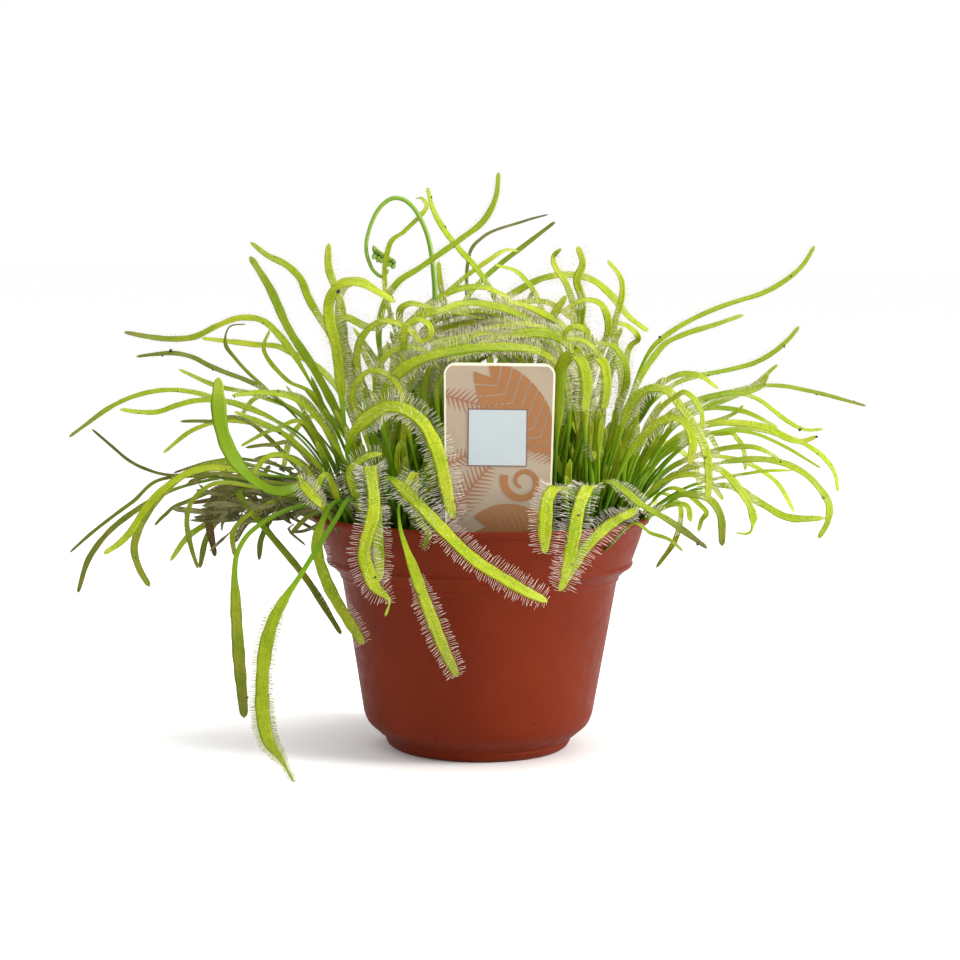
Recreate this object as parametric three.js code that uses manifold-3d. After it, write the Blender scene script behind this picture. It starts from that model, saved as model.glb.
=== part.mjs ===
// A Cape sundew in a 12 cm nursery pot: a thin plastic pot, peat, a card label on its
// stake, a curled flower stalk and more than fifty separate strap-shaped leaves.
//
// Millimetres, +Z up. The origin is on the pot's axis, at the level it stands on, and
// the label faces -Y.

import * as THREE from 'three';
import { mergeVertices } from 'three/addons/utils/BufferGeometryUtils.js';
import Module from 'manifold-3d';

const wasm = await Module();
wasm.setup();

// ---------------------------------------------------------------- driving sizes

const GAP = 0.3;            // clearance between pieces that touch

const RIM_RADIUS = 60;
const POT_HEIGHT = 83;
const WALL = 1;             // moulded wall of the pot
const FLOOR = 1.4;          // thickness of its floor
const FOOT_RADIUS = 32;
const DRAIN_HOLES = 6;
const DRAIN_RADIUS = 3;
const DRAIN_CIRCLE = 23;    // radius of the ring of drain holes

const SOIL_TOP = 75;

const LABEL_WIDTH = 37;
const LABEL_TAPER = 2;      // how much narrower the card is at the soil
const LABEL_TOP = 138;
const LABEL_BOTTOM = 80;    // where the card ends and narrows to its stake
const LABEL_SHOULDER = 4;   // height over which it narrows
const LABEL_STAKE = 10;     // width of the stake
const LABEL_THICKNESS = 0.6;
const LABEL_CORNER = 4;
const LABEL_STAKE_DEPTH = 8;   // how far the stake goes into the peat before its point
const LABEL_POINT = 4;      // length of the point
const LABEL_X = 5.8;
const LABEL_Y = -45;

const PETIOLE_WIDTH = 1.9;  // the bare stalk of a leaf
const PETIOLE_DEPTH = 1.7;
const BLADE_DEPTH = 1.4;    // thickness of the sticky blade at its midrib
const LEAF_RINGS = 16;      // steps along a leaf
const LEAF_SIDES = 4;       // a flat diamond: two thin edges and a midrib on each face
const ROOT_RISE = 3;        // how far a leaf stands straight up before it bends

const ROUND = 48;           // facets around the pot

// ---------------------------------------------------------------- materials

const finish = (color, roughness) =>
  new THREE.MeshStandardMaterial({ color, roughness, metalness: 0 });

const terracottaPlastic = finish(0xa04427, 0.45);
const peat = finish(0x1d150f, 0.95);
const card = finish(0xcbb8a4, 0.6);
const leafGreen = finish(0xa9c82a, 0.5);
const stalkGreen = finish(0x7fae1e, 0.5);
const budGreen = finish(0x8fb52a, 0.6);

// ---------------------------------------------------------------- helpers

const sundew = new THREE.Group();

function addPiece(name, geometry, material) {
  const mesh = new THREE.Mesh(geometry, material);
  mesh.name = name;
  sundew.add(mesh);
  return mesh;
}

// A profile of [radius, height] pairs, turned about the vertical axis.
function turned(profile) {
  const points = profile.map(([radius, height]) => new THREE.Vector2(radius, height));
  return new THREE.LatheGeometry(points, ROUND).rotateX(Math.PI / 2);
}

function toSolid(geometry) {
  const bare = geometry.clone();
  bare.deleteAttribute('normal');
  bare.deleteAttribute('uv');
  const merged = mergeVertices(bare, 1e-4);
  const vertProperties = new Float32Array(merged.attributes.position.array);
  const triVerts = new Uint32Array(merged.index.array);
  return new wasm.Manifold(new wasm.Mesh({ numProp: 3, vertProperties, triVerts }));
}

function toGeometry(solid) {
  const { vertProperties, triVerts } = solid.getMesh();
  const geometry = new THREE.BufferGeometry();
  geometry.setAttribute('position', new THREE.BufferAttribute(vertProperties, 3));
  geometry.setIndex(new THREE.BufferAttribute(triVerts, 1));
  geometry.computeVertexNormals();
  return geometry;
}

// ---------------------------------------------------------------- pot

// The outside of the wall, from the table up to the lip: foot, chamfer, tapered body,
// the step that nested pots stack on, and the collar below the rim.
const OUTSIDE = [
  [FOOT_RADIUS - 1.5, 0],
  [FOOT_RADIUS, 1],
  [FOOT_RADIUS + 1.8, 4.5],
  [39.4, 9],
  [40.6, 12],
  [48.8, 61],
  [49.6, 63],
  [53.2, 65.5],
  [54.2, 68],
  [56.6, 75],
  [58.4, 81],
  [RIM_RADIUS, 81.6],
  [RIM_RADIUS, POT_HEIGHT],
];

// The inside follows the outside one wall further in, above the floor of the pot.
const INSIDE = [
  [58.4 - WALL, POT_HEIGHT],
  [56.6 - WALL, 75],
  [54.2 - WALL, 68.4],
  [53.2 - WALL, 66.6],
  [48.8 - WALL, 62.8],
  [40.6 - WALL, 12.3],
  [39.4 - WALL, 10],
  [FOOT_RADIUS + 1.8 - WALL, 5.2],
  [FOOT_RADIUS - WALL, FLOOR],
];

function buildPot() {
  const shell = turned([[0, 0], ...OUTSIDE, ...INSIDE, [0, FLOOR]]);
  let pot = toSolid(shell);
  for (let i = 0; i < DRAIN_HOLES; i += 1) {
    const angle = (i / DRAIN_HOLES) * 2 * Math.PI;
    const drill = new THREE.CylinderGeometry(DRAIN_RADIUS, DRAIN_RADIUS, 8, 12).rotateX(Math.PI / 2);
    drill.translate(DRAIN_CIRCLE * Math.cos(angle), DRAIN_CIRCLE * Math.sin(angle), 0);
    pot = pot.subtract(toSolid(drill));
  }
  addPiece('pot', toGeometry(pot), terracottaPlastic);
}

// ---------------------------------------------------------------- label

// The card on its stake, drawn in its own plane: x across, y up.
function labelOutline() {
  const top = LABEL_WIDTH / 2;
  const bottom = (LABEL_WIDTH - LABEL_TAPER) / 2;
  const stake = LABEL_STAKE / 2;
  const outline = new THREE.Shape();
  outline.moveTo(-stake, SOIL_TOP - LABEL_STAKE_DEPTH);
  outline.lineTo(0, SOIL_TOP - LABEL_STAKE_DEPTH - LABEL_POINT);
  outline.lineTo(stake, SOIL_TOP - LABEL_STAKE_DEPTH);
  outline.lineTo(stake, LABEL_BOTTOM - LABEL_SHOULDER);
  outline.lineTo(bottom, LABEL_BOTTOM);
  outline.lineTo(top, LABEL_TOP - LABEL_CORNER);
  outline.quadraticCurveTo(top, LABEL_TOP, top - LABEL_CORNER, LABEL_TOP);
  outline.lineTo(-top + LABEL_CORNER, LABEL_TOP);
  outline.quadraticCurveTo(-top, LABEL_TOP, -top, LABEL_TOP - LABEL_CORNER);
  outline.lineTo(-bottom, LABEL_BOTTOM);
  outline.lineTo(-stake, LABEL_BOTTOM - LABEL_SHOULDER);
  outline.closePath();
  return outline;
}

function extrudeFlat(outline, thickness) {
  const options = { depth: thickness, bevelEnabled: false, curveSegments: 4 };
  return new THREE.ExtrudeGeometry(outline, options).rotateX(Math.PI / 2);
}

function buildLabel() {
  const geometry = extrudeFlat(labelOutline(), LABEL_THICKNESS);
  geometry.translate(LABEL_X, LABEL_Y, 0);
  addPiece('label', geometry, card);
}

// ---------------------------------------------------------------- soil

// Peat fills the pot up to SOIL_TOP, with a slot where the label's stake is pushed in.
function buildSoil() {
  const inner = INSIDE.filter(([, height]) => height < SOIL_TOP);
  const wall = inner.map(([radius, height]) => [radius - GAP, height + GAP]).reverse();
  const profile = [[0, FLOOR + GAP], ...wall, [55, SOIL_TOP], [0, SOIL_TOP]];
  const slotDepth = LABEL_THICKNESS + 2 * GAP;
  const slotWidth = LABEL_STAKE + 2 * GAP;
  const slot = new THREE.BoxGeometry(slotWidth, slotDepth, 30);
  slot.translate(LABEL_X, LABEL_Y - LABEL_THICKNESS / 2, SOIL_TOP);
  addPiece('soil', toGeometry(toSolid(turned(profile)).subtract(toSolid(slot))), peat);
}

// ---------------------------------------------------------------- leaves

// The blades turn their sticky faces up and to the front.
const FACE = new THREE.Vector3(0, -0.75, 0.66);

// A smooth route: [x, y] on the soil first, then [x, y, z] points up to the tip.
function routeCurve([root, ...rest]) {
  const start = new THREE.Vector3(root[0], root[1], SOIL_TOP + GAP);
  const straight = start.clone().add(new THREE.Vector3(0, 0, ROOT_RISE));
  const points = [start, straight, ...rest.map((point) => new THREE.Vector3(...point))];
  return new THREE.CatmullRomCurve3(points, false, 'centripetal');
}

// Directions across a curve, carried along it and turned towards the face direction.
function crossDirections(curve, count) {
  const across = new THREE.Vector3();
  const wanted = new THREE.Vector3();
  const directions = [];
  for (let i = 0; i <= count; i += 1) {
    const along = curve.getTangentAt(i / count);
    wanted.crossVectors(along, FACE);
    if (i === 0) {
      across.copy(wanted);
    }
    if (across.dot(wanted) < 0) {
      wanted.negate();
    }
    across.lerp(wanted, wanted.lengthSq());
    across.addScaledVector(along, -across.dot(along)).normalize();
    directions.push(across.clone());
  }
  return directions;
}

const smooth = (from, to, t) => THREE.MathUtils.smoothstep(t, from, to);

// Width and thickness at t, from 0 at the root to 1 at the tip.
function leafSection(t, blade, petioleEnd) {
  const swell = smooth(petioleEnd - 0.08, petioleEnd + 0.1, t);
  const tip = 1 - 0.65 * smooth(0.86, 1, t);
  const width = THREE.MathUtils.lerp(PETIOLE_WIDTH, blade, swell) * tip;
  const depth = THREE.MathUtils.lerp(PETIOLE_DEPTH, BLADE_DEPTH, swell) * tip;
  return [width, depth];
}

// A closed solid whose sections follow a curve: a cylinder along +Y, moved ring by ring.
function sweptSolid(curve, rings, sides, sectionAt) {
  const geometry = new THREE.CylinderGeometry(1, 1, 1, sides, rings);
  const across = crossDirections(curve, rings);
  const position = geometry.attributes.position;
  const vertex = new THREE.Vector3();
  for (let i = 0; i < position.count; i += 1) {
    vertex.fromBufferAttribute(position, i);
    const ring = Math.round((vertex.y + 0.5) * rings);
    const t = ring / rings;
    const along = curve.getTangentAt(t);
    const depthways = new THREE.Vector3().crossVectors(across[ring], along);
    const [width, depth] = sectionAt(t);
    const place = curve.getPointAt(t);
    place.addScaledVector(across[ring], (vertex.x * width) / 2);
    place.addScaledVector(depthways, (vertex.z * depth) / 2);
    position.setXYZ(i, place.x, place.y, place.z);
  }
  geometry.computeVertexNormals();
  return geometry;
}

// Leaves by the side of the plant they grow to: blade width, where the blade starts
// along the leaf, and the route of the midrib.
const LEAVES = {
  // over the front rim, from the near side of the clump
  front: [
    [4.2, 0.3, [[-27, -31], [-32, -40, 99], [-22, -54, 93], [-13, -64, 85], [-2, -67, 75],
      [6, -68, 70], [15, -69, 65], [22, -70, 62]]],
    [4.6, 0.35, [[-38, -22], [-45, -31, 109], [-31, -44, 123], [-20, -52, 119], [-14, -55, 108],
      [-11, -56, 95], [-9, -56, 87]]],
    [4.4, 0.4, [[30, -34], [27, -48, 97], [22, -60, 95], [21, -65, 86], [21, -65, 77]]],
    [4.2, 0.35, [[35, -36], [36, -46, 96], [35, -55, 98], [32, -63, 92], [30, -70, 82],
      [27, -74, 70]]],
    [3.8, 0.35, [[47, -20], [53, -27, 88], [50, -42, 88], [42, -54, 85], [34, -61, 78],
      [29, -64, 71], [26, -67, 65]]],
    [4.2, 0.25, [[-32, -23], [-37, -43, 103], [-35, -60, 90], [-38, -62, 76], [-36, -62, 69],
      [-33, -60, 63], [-29, -59, 59], [-31, -60, 55]]],
    [4, 0.45, [[-22, -29], [-27, -46, 91], [-26, -60, 83], [-22, -63, 72], [-18, -63, 61],
      [-15, -62, 53], [-11, -60, 43], [-7, -59, 35]]],
    [4, 0.4, [[-42, -25], [-49, -33, 90], [-55, -38, 77], [-52, -38, 64], [-48, -38, 56],
      [-39, -39, 42]]],
    [4.6, 0.5, [[-37, -27], [-43, -37, 92], [-49, -45, 84], [-59, -52, 68], [-67, -58, 55],
      [-70, -61, 45], [-71, -64, 28], [-69, -66, 15], [-64, -68, 8], [-60, -70, 1.5]]],
    [4.2, 0.6, [[-45, -19], [-53, -27, 88], [-61, -31, 88], [-70, -36, 85], [-79, -40, 78],
      [-82, -42, 71],
      [-82, -42, 58], [-81, -42, 40], [-79, -42, 17]]],
    [2.6, 0.4, [[-48, -7], [-58, -11, 90], [-68, -15, 93], [-83, -20, 92], [-76, -23, 82],
      [-59, -27, 62],
      [-47, -31, 44]]],
    [5.2, 0.35, [[-42, -13], [-56, -21, 95], [-69, -33, 93], [-80, -40, 101], [-86, -40, 111],
      [-88, -40, 122], [-88, -40, 132]]],
  ],
  // out to the left
  left: [
    [3.8, 0.4, [[-48, -1], [-58, -5, 92], [-68, -9, 96], [-88, -12, 101], [-106, -12, 94],
      [-119, -13, 76],
      [-120, -12, 67], [-115, -12, 57]]],
    [4, 0.4, [[-44, -8], [-57, -15, 94], [-72, -19, 97], [-97, -22, 99], [-112, -23, 89],
      [-121, -24, 76],
      [-129, -25, 70]]],
    [2.8, 0.45, [[-46, -14], [-55, -22, 90], [-72, -27, 93], [-91, -30, 95], [-99, -31, 87],
      [-99, -30, 76],
      [-96, -30, 66]]],
    [3, 0.5, [[-46, 4], [-62, 3, 108], [-84, 1, 119], [-108, 0, 125], [-126, 0, 121],
      [-145, 0, 108]]],
    [3.2, 0.45, [[-45, -4], [-62, -8, 108], [-84, -12, 121], [-100, -13, 122], [-113, -14, 118],
      [-125, -14, 119]]],
    [3.6, 0.45, [[-42, 9], [-60, 20, 124], [-76, 28, 146], [-84, 30, 150], [-95, 30, 147],
      [-106, 30, 142], [-118, 30, 142], [-130, 30, 144]]],
    [3, 0.5, [[-48, 10], [-62, 12, 110], [-78, 13, 125], [-95, 13, 132], [-106, 12, 137],
      [-115, 12, 137], [-123, 12, 136]]],
    [2.4, 0.5, [[-38, 14], [-60, 34, 108], [-78, 42, 122], [-90, 44, 133], [-95, 44, 141],
      [-92, 44, 147], [-87, 44, 147]]],
    [3.2, 0.4, [[-39, -9], [-50, -19, 108], [-62, -24, 123], [-73, -26, 126], [-85, -27, 125]]],
    [3, 0.4, [[-42, -9], [-56, -15, 100], [-69, -18, 112], [-85, -19, 119]]],
  ],
  // up and over the top
  top: [
    [3.6, 0.35, [[-37, 4], [-50, 10, 114], [-61, 14, 134], [-69, 15, 146], [-76, 15, 161],
      [-83, 15, 172]]],
    [3.4, 0.4, [[-31, 9], [-44, 20, 118], [-53, 25, 141], [-62, 28, 155], [-68, 28, 167],
      [-76, 28, 171], [-84, 28, 177]]],
    [4.4, 0.45, [[-38, -15], [-46, -17, 108], [-50, -16, 140], [-53, -16, 155], [-50, -16, 162],
      [-44, -16, 164], [-37, -16, 161], [-30, -16, 157]]],
    [2.8, 0.4, [[6, 12], [11, 12, 120], [12, 11, 146], [5, 10, 157], [-1, 10, 167],
      [-10, 10, 177], [-17, 10, 187], [-20, 10, 197]]],
    [3, 0.45, [[-25, -3], [-32, -3, 120], [-36, -5, 148], [-31, -6, 162], [-20, -6, 170],
      [-9, -6, 178], [-1, -6, 184], [4, -6, 193], [5, -6, 202]]],
    [4.6, 0.4, [[-23, -14], [-34, -28, 120], [-28, -35, 134], [-19, -37, 139], [-6, -37, 142],
      [8, -37, 143], [20, -37, 142]]],
    [4.6, 0.4, [[28, -10], [36, -18, 122], [32, -23, 141], [22, -25, 147], [6, -25, 146],
      [-8, -24, 145], [-18, -24, 143]]],
    [4.4, 0.4, [[-20, -8], [-30, -11, 124], [-28, -13, 145], [-20, -14, 153], [-8, -14, 154],
      [4, -14, 152], [14, -14, 151]]],
    [4.6, 0.45, [[25, -17], [26, -31, 125], [27, -38, 138], [31, -41, 141], [34, -42, 136],
      [35, -43, 129], [34, -43, 122]]],
    [4, 0.45, [[37, -16], [35, -26, 124], [35, -32, 138], [39, -34, 140], [42, -35, 132],
      [41, -35, 122]]],
    [3.8, 0.45, [[22, -4], [24, -8, 120], [21, -10, 143], [24, -10, 152], [29, -10, 160]]],
    [3.4, 0.45, [[33, 2], [34, 5, 120], [34, 6, 146], [35, 6, 158], [33, 6, 165],
      [35, 6, 171], [33, 6, 177]]],
  ],
  // out to the right
  right: [
    [3, 0.45, [[44, 5], [51, 8, 118], [60, 9, 141], [70, 10, 149], [84, 10, 156],
      [101, 10, 162], [112, 10, 170], [117, 10, 178]]],
    [3, 0.45, [[41, 13], [56, 22, 114], [71, 28, 128], [86, 30, 132], [98, 30, 135],
      [108, 30, 141], [115, 30, 149]]],
    [3.2, 0.45, [[42, -3], [58, -8, 112], [72, -11, 123], [86, -12, 127], [95, -12, 128],
      [99, -12, 134]]],
    [2.8, 0.45, [[47, 10], [62, 13, 110], [78, 17, 121], [91, 18, 126], [104, 18, 128],
      [118, 18, 126], [138, 18, 121]]],
    [2.8, 0.45, [[46, 0], [62, -1, 108], [78, -2, 121], [90, -2, 126], [97, -2, 124],
      [104, -2, 119], [112, -2, 114], [120, -2, 114]]],
    [3.6, 0.45, [[45, -8], [60, -15, 104], [76, -21, 116], [90, -22, 117], [100, -22, 115],
      [107, -22, 111], [115, -22, 113]]],
    [2.4, 0.45, [[43, -14], [58, -25, 102], [76, -31, 114], [90, -33, 115], [101, -33, 111],
      [115, -33, 103]]],
    [3, 0.45, [[50, 4], [68, 6, 104], [90, 7, 113], [106, 7, 111], [118, 7, 106],
      [125, 7, 99], [127, 7, 91]]],
    [3.6, 0.45, [[50, -5], [66, -10, 97], [84, -14, 103], [100, -16, 104], [111, -16, 100],
      [118, -16, 93], [121, -16, 86], [117, -16, 77]]],
    [3.8, 0.4, [[47, -13], [60, -22, 93], [72, -30, 103], [81, -34, 102], [87, -35, 96],
      [92, -35, 87], [91, -35, 81], [86, -35, 81]]],
    [4.2, 0.4, [[39, -20], [46, -30, 110], [52, -36, 127], [60, -38, 130], [67, -40, 123],
      [73, -41, 114], [76, -41, 105], [76, -41, 93]]],
    [3.4, 0.4, [[37, -30], [41, -44, 99], [48, -51, 96], [53, -52, 92], [62, -53, 87],
      [75, -54, 78]]],
  ],
  // out behind
  back: [
    [3.4, 0.45, [[4, 24], [-1, 34, 128], [1, 39, 150], [14, 40, 161], [26, 40, 166],
      [39, 40, 165], [47, 40, 159], [54, 40, 151], [61, 40, 146]]],
    [2.6, 0.45, [[-6, 26], [-11, 46, 128], [-7, 56, 155], [2, 60, 166], [13, 62, 175],
      [27, 64, 186]]],
    [3, 0.45, [[39, 8], [48, 14, 112], [50, 16, 130], [48, 16, 138], [47, 16, 146],
      [48, 16, 153]]],
    [4, 0.4, [[-24, 22], [-34, 44, 110], [-46, 68, 122], [-54, 86, 112], [-58, 94, 95]]],
    [3.8, 0.4, [[-12, 32], [-17, 54, 104], [-22, 78, 108], [-24, 92, 92], [-24, 96, 70]]],
    [4, 0.4, [[12, 32], [16, 56, 112], [22, 80, 118], [26, 96, 104], [27, 101, 84]]],
    [3.8, 0.4, [[28, 22], [42, 48, 104], [56, 68, 108], [66, 80, 94], [68, 84, 74]]],
    [4, 0.35, [[0, 40], [0, 56, 94], [-2, 68, 94], [-3, 75, 80], [-3, 77, 58]]],
  ],
};

function buildLeaves() {
  for (const [side, leaves] of Object.entries(LEAVES)) {
    leaves.forEach(([blade, petioleEnd, route], index) => {
      const sectionAt = (t) => leafSection(t, blade, petioleEnd);
      const geometry = sweptSolid(routeCurve(route), LEAF_RINGS, LEAF_SIDES, sectionAt);
      const number = String(index + 1).padStart(2, '0');
      addPiece(`leaf_${side}_${number}`, geometry, leafGreen);
    });
  }
}

// ---------------------------------------------------------------- flower stalk

const STALK_WIDTH = 2.2;
const STALK_TIP_WIDTH = 1.2;
const STALK_RINGS = 44;
const STALK_ROUTE = [[-14, 2], [-16, 3, 117], [-17, 4, 148], [-17, 4, 163], [-20, 4, 181],
  [-26, 4, 191], [-31, 4, 193], [-36, 4, 190], [-40, 4, 182], [-41, 4, 174], [-38, 4, 167],
  [-35, 4, 165.5], [-33, 4, 168]];
const BUD_CENTRE = [-34.5, 4, 171.6];
const BUD_SIZE = [8, 5, 5];

function buildFlowerStalk() {
  const sectionAt = (t) => {
    const width = THREE.MathUtils.lerp(STALK_WIDTH, STALK_TIP_WIDTH, t);
    return [width, width];
  };
  const geometry = sweptSolid(routeCurve(STALK_ROUTE), STALK_RINGS, LEAF_SIDES, sectionAt);
  addPiece('flower_stalk', geometry, stalkGreen);
  const buds = new THREE.SphereGeometry(0.5, 12, 8);
  buds.scale(...BUD_SIZE).rotateY(0.3);
  buds.translate(...BUD_CENTRE);
  addPiece('flower_buds', buds, budGreen);
}

// ---------------------------------------------------------------- the whole plant

buildPot();
buildSoil();
buildLabel();
buildLeaves();
buildFlowerStalk();

export default sundew;
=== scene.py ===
# %% [markdown]
# # A potted Cape sundew
# A sundew is a small carnivorous plant. Its leaves are narrow straps that curl as they grow, and each
# strap carries hundreds of thin hairs, every one with a drop of glue at its end. This lesson dresses the
# plain CAD frame of such a plant: it keeps every size and place that the frame gives, and replaces each
# solid with a finer mesh. The frame is loaded first, because everything else is measured from it.

# %% Load the frame
import math

import bmesh
import bpy
import numpy as np
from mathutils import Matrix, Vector


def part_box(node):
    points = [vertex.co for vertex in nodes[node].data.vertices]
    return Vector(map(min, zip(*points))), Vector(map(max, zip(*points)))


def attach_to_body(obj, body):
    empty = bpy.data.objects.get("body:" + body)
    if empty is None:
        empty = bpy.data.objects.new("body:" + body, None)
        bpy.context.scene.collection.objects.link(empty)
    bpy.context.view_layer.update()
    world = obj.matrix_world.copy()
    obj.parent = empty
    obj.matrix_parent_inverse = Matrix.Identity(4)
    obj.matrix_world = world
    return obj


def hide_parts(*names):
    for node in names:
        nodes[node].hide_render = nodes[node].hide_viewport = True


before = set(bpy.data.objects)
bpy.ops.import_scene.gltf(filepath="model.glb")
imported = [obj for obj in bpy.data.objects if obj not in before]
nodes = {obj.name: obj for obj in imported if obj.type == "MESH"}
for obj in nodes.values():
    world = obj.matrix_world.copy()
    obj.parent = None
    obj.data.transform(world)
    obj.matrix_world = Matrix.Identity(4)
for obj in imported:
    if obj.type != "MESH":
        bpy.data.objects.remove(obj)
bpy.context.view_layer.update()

MM = 0.001
soil_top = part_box("soil")[1].z
rim_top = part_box("pot")[1].z
rim_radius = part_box("pot")[1].x
print("frame:", len(nodes), "nodes, rim radius", round(rim_radius / MM, 1), "mm")
print("rim", round(rim_top / MM, 1), "mm above the floor")

# %% [markdown]
# ## Camera, floor and light
# The plant is seen from its label's side, a little above the rim, from a long way off, so that the leaves
# on both sides keep their true proportions. A long lens does that. The floor and the surroundings are pale
# and even, as in a studio sweep. One soft lamp stands at the upper right, so that
# the round pot reads as round, and one hangs above the leaves.

# %% Camera
CAMERA_PLACE = (-1.2 * MM, -831 * MM, 176 * MM)
CAMERA_PITCH = 5.6      # degrees down
CAMERA_ROLL = -0.65     # degrees
CAMERA_LENS = 88.9      # on a 36 mm sensor


def add_camera():
    data = bpy.data.cameras.new("camera")
    data.lens = CAMERA_LENS
    data.sensor_width = 36
    camera = bpy.data.objects.new("camera", data)
    camera.location = CAMERA_PLACE
    camera.rotation_euler = (math.radians(90 - CAMERA_PITCH), math.radians(CAMERA_ROLL), 0)
    bpy.context.scene.collection.objects.link(camera)
    bpy.context.scene.camera = camera
    return camera


camera = add_camera()
bpy.context.scene.view_settings.view_transform = "Standard"
print("camera lens", camera.data.lens, "mm")

# %% Colours are written as on a paint card, and turned into the linear values that shaders use


def paint(code):
    values = [int(code[i:i + 2], 16) / 255 for i in (0, 2, 4)]
    linear = [v / 12.92 if v <= 0.04045 else ((v + 0.055) / 1.055) ** 2.4 for v in values]
    return (*linear, 1.0)


print("terracotta", [round(v, 3) for v in paint("a2452b")])

# %% Lamps, surroundings and floor


def add_lamp(name, place, aim, size, power, colour):
    data = bpy.data.lights.new(name, "AREA")
    data.shape = "DISK"
    data.size = size
    data.energy = power
    data.color = colour
    lamp = bpy.data.objects.new(name, data)
    lamp.location = place
    lamp.rotation_euler = (Vector(aim) - Vector(place)).to_track_quat("-Z", "Y").to_euler()
    bpy.context.scene.collection.objects.link(lamp)
    return lamp


def add_floor(size, colour):
    mesh = bpy.data.meshes.new("floor")
    half = size / 2
    corners = [(-half, -half, 0), (half, -half, 0), (half, half, 0), (-half, half, 0)]
    mesh.from_pydata(corners, [], [(0, 1, 2, 3)])
    material = bpy.data.materials.new("floor")
    material.use_nodes = True
    shader = material.node_tree.nodes["Principled BSDF"]
    shader.inputs["Base Color"].default_value = colour
    shader.inputs["Roughness"].default_value = 0.9
    mesh.materials.append(material)
    floor = bpy.data.objects.new("floor", mesh)
    bpy.context.scene.collection.objects.link(floor)
    return floor


def add_surroundings(colour, strength):
    world = bpy.data.worlds.new("studio")
    world.use_nodes = True
    background = world.node_tree.nodes["Background"]
    background.inputs["Color"].default_value = colour
    background.inputs["Strength"].default_value = strength
    bpy.context.scene.world = world


add_surroundings((1, 1, 1, 1), 1.0)
add_floor(40.0, (0.995, 0.995, 0.995, 1))
add_lamp("key", (1.1, -0.3, 0.45), (0, 0, 0.07), 0.5, 17, (1, 0.98, 0.95))
add_lamp("top", (0.1, -0.1, 1.2), (0, 0, 0.1), 0.5, 7, (1, 1, 0.98))

# %% [markdown]
# ## One helper that turns arrays into a piece
# The plant needs tens of thousands of small faces, so its meshes are built from arrays, not with
# operators. Most pieces get their own map, "OFBake", which spreads their surface out without overlaps
# where the colour changes, and every piece rides on the frame's only body.

# %% Make a piece from arrays


def make_piece(name, points, faces, slots, materials, replaces=(), slot=None, marks=None, uv=None):
    """points in metres; faces is a list of index arrays, slots the material of each array."""
    mesh = bpy.data.meshes.new(name)
    corners = np.concatenate([f.ravel() for f in faces]).astype(np.int32)
    sides = np.concatenate([np.full(len(f), f.shape[1]) for f in faces])
    mesh.vertices.add(len(points))
    mesh.vertices.foreach_set("co", np.asarray(points, np.float32).ravel())
    mesh.loops.add(len(corners))
    mesh.loops.foreach_set("vertex_index", corners)
    mesh.polygons.add(len(sides))
    mesh.polygons.foreach_set("loop_start", (np.cumsum(sides) - sides).astype(np.int32))
    wear = np.concatenate([np.full(len(f), s) for f, s in zip(faces, slots)]).astype(np.int32)
    mesh.polygons.foreach_set("material_index", wear)
    mesh.polygons.foreach_set("use_smooth", np.ones(len(sides), bool))
    for mark, values in (marks or {}).items():
        mesh.attributes.new(mark, "FLOAT", "POINT").data.foreach_set(
            "value", np.asarray(values, np.float32))
    if uv is not None:
        mesh.uv_layers.new(name="OFBake").uv.foreach_set(
            "vector", np.concatenate([u.reshape(-1, 2) for u in uv]).astype(np.float32).ravel())
    mesh.update(calc_edges=True)
    for material in materials:
        mesh.materials.append(material)
    piece = bpy.data.objects.new(name, mesh)
    bpy.context.scene.collection.objects.link(piece)
    attach(piece, replaces, slot)
    return piece


def attach(piece, replaces=(), slot=None):
    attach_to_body(piece, "root")
    if replaces:
        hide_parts(*replaces)


# %% [markdown]
# ## Shader groups
# Two effects come back in most of the finishes. One is a soft mottling, which breaks up every even
# colour: two noises at different scales, mixed. The other is a scatter of small dark specks, which on the
# leaves are the feet of the glue hairs, and on the pot are crumbs of peat. Each is a node group,
# built once, so that every material can use it with its own scale and strength.

# %% Small helpers for node trees


def node(tree, kind, **settings):
    made = tree.nodes.new(kind)
    for key, value in settings.items():
        if key in made.inputs:
            made.inputs[key].default_value = value
        else:
            setattr(made, key, value)
    return made


def join(tree, source, target):
    tree.links.new(source, target)


def new_group(name, inputs, outputs):
    group = bpy.data.node_groups.new(name, "ShaderNodeTree")
    for label, kind, value in inputs:
        socket = group.interface.new_socket(label, in_out="INPUT", socket_type=kind)
        if value is not None:
            socket.default_value = value
    for label, kind in outputs:
        group.interface.new_socket(label, in_out="OUTPUT", socket_type=kind)
    return group, group.nodes.new("NodeGroupInput"), group.nodes.new("NodeGroupOutput")


# %% Group: mottling


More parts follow.
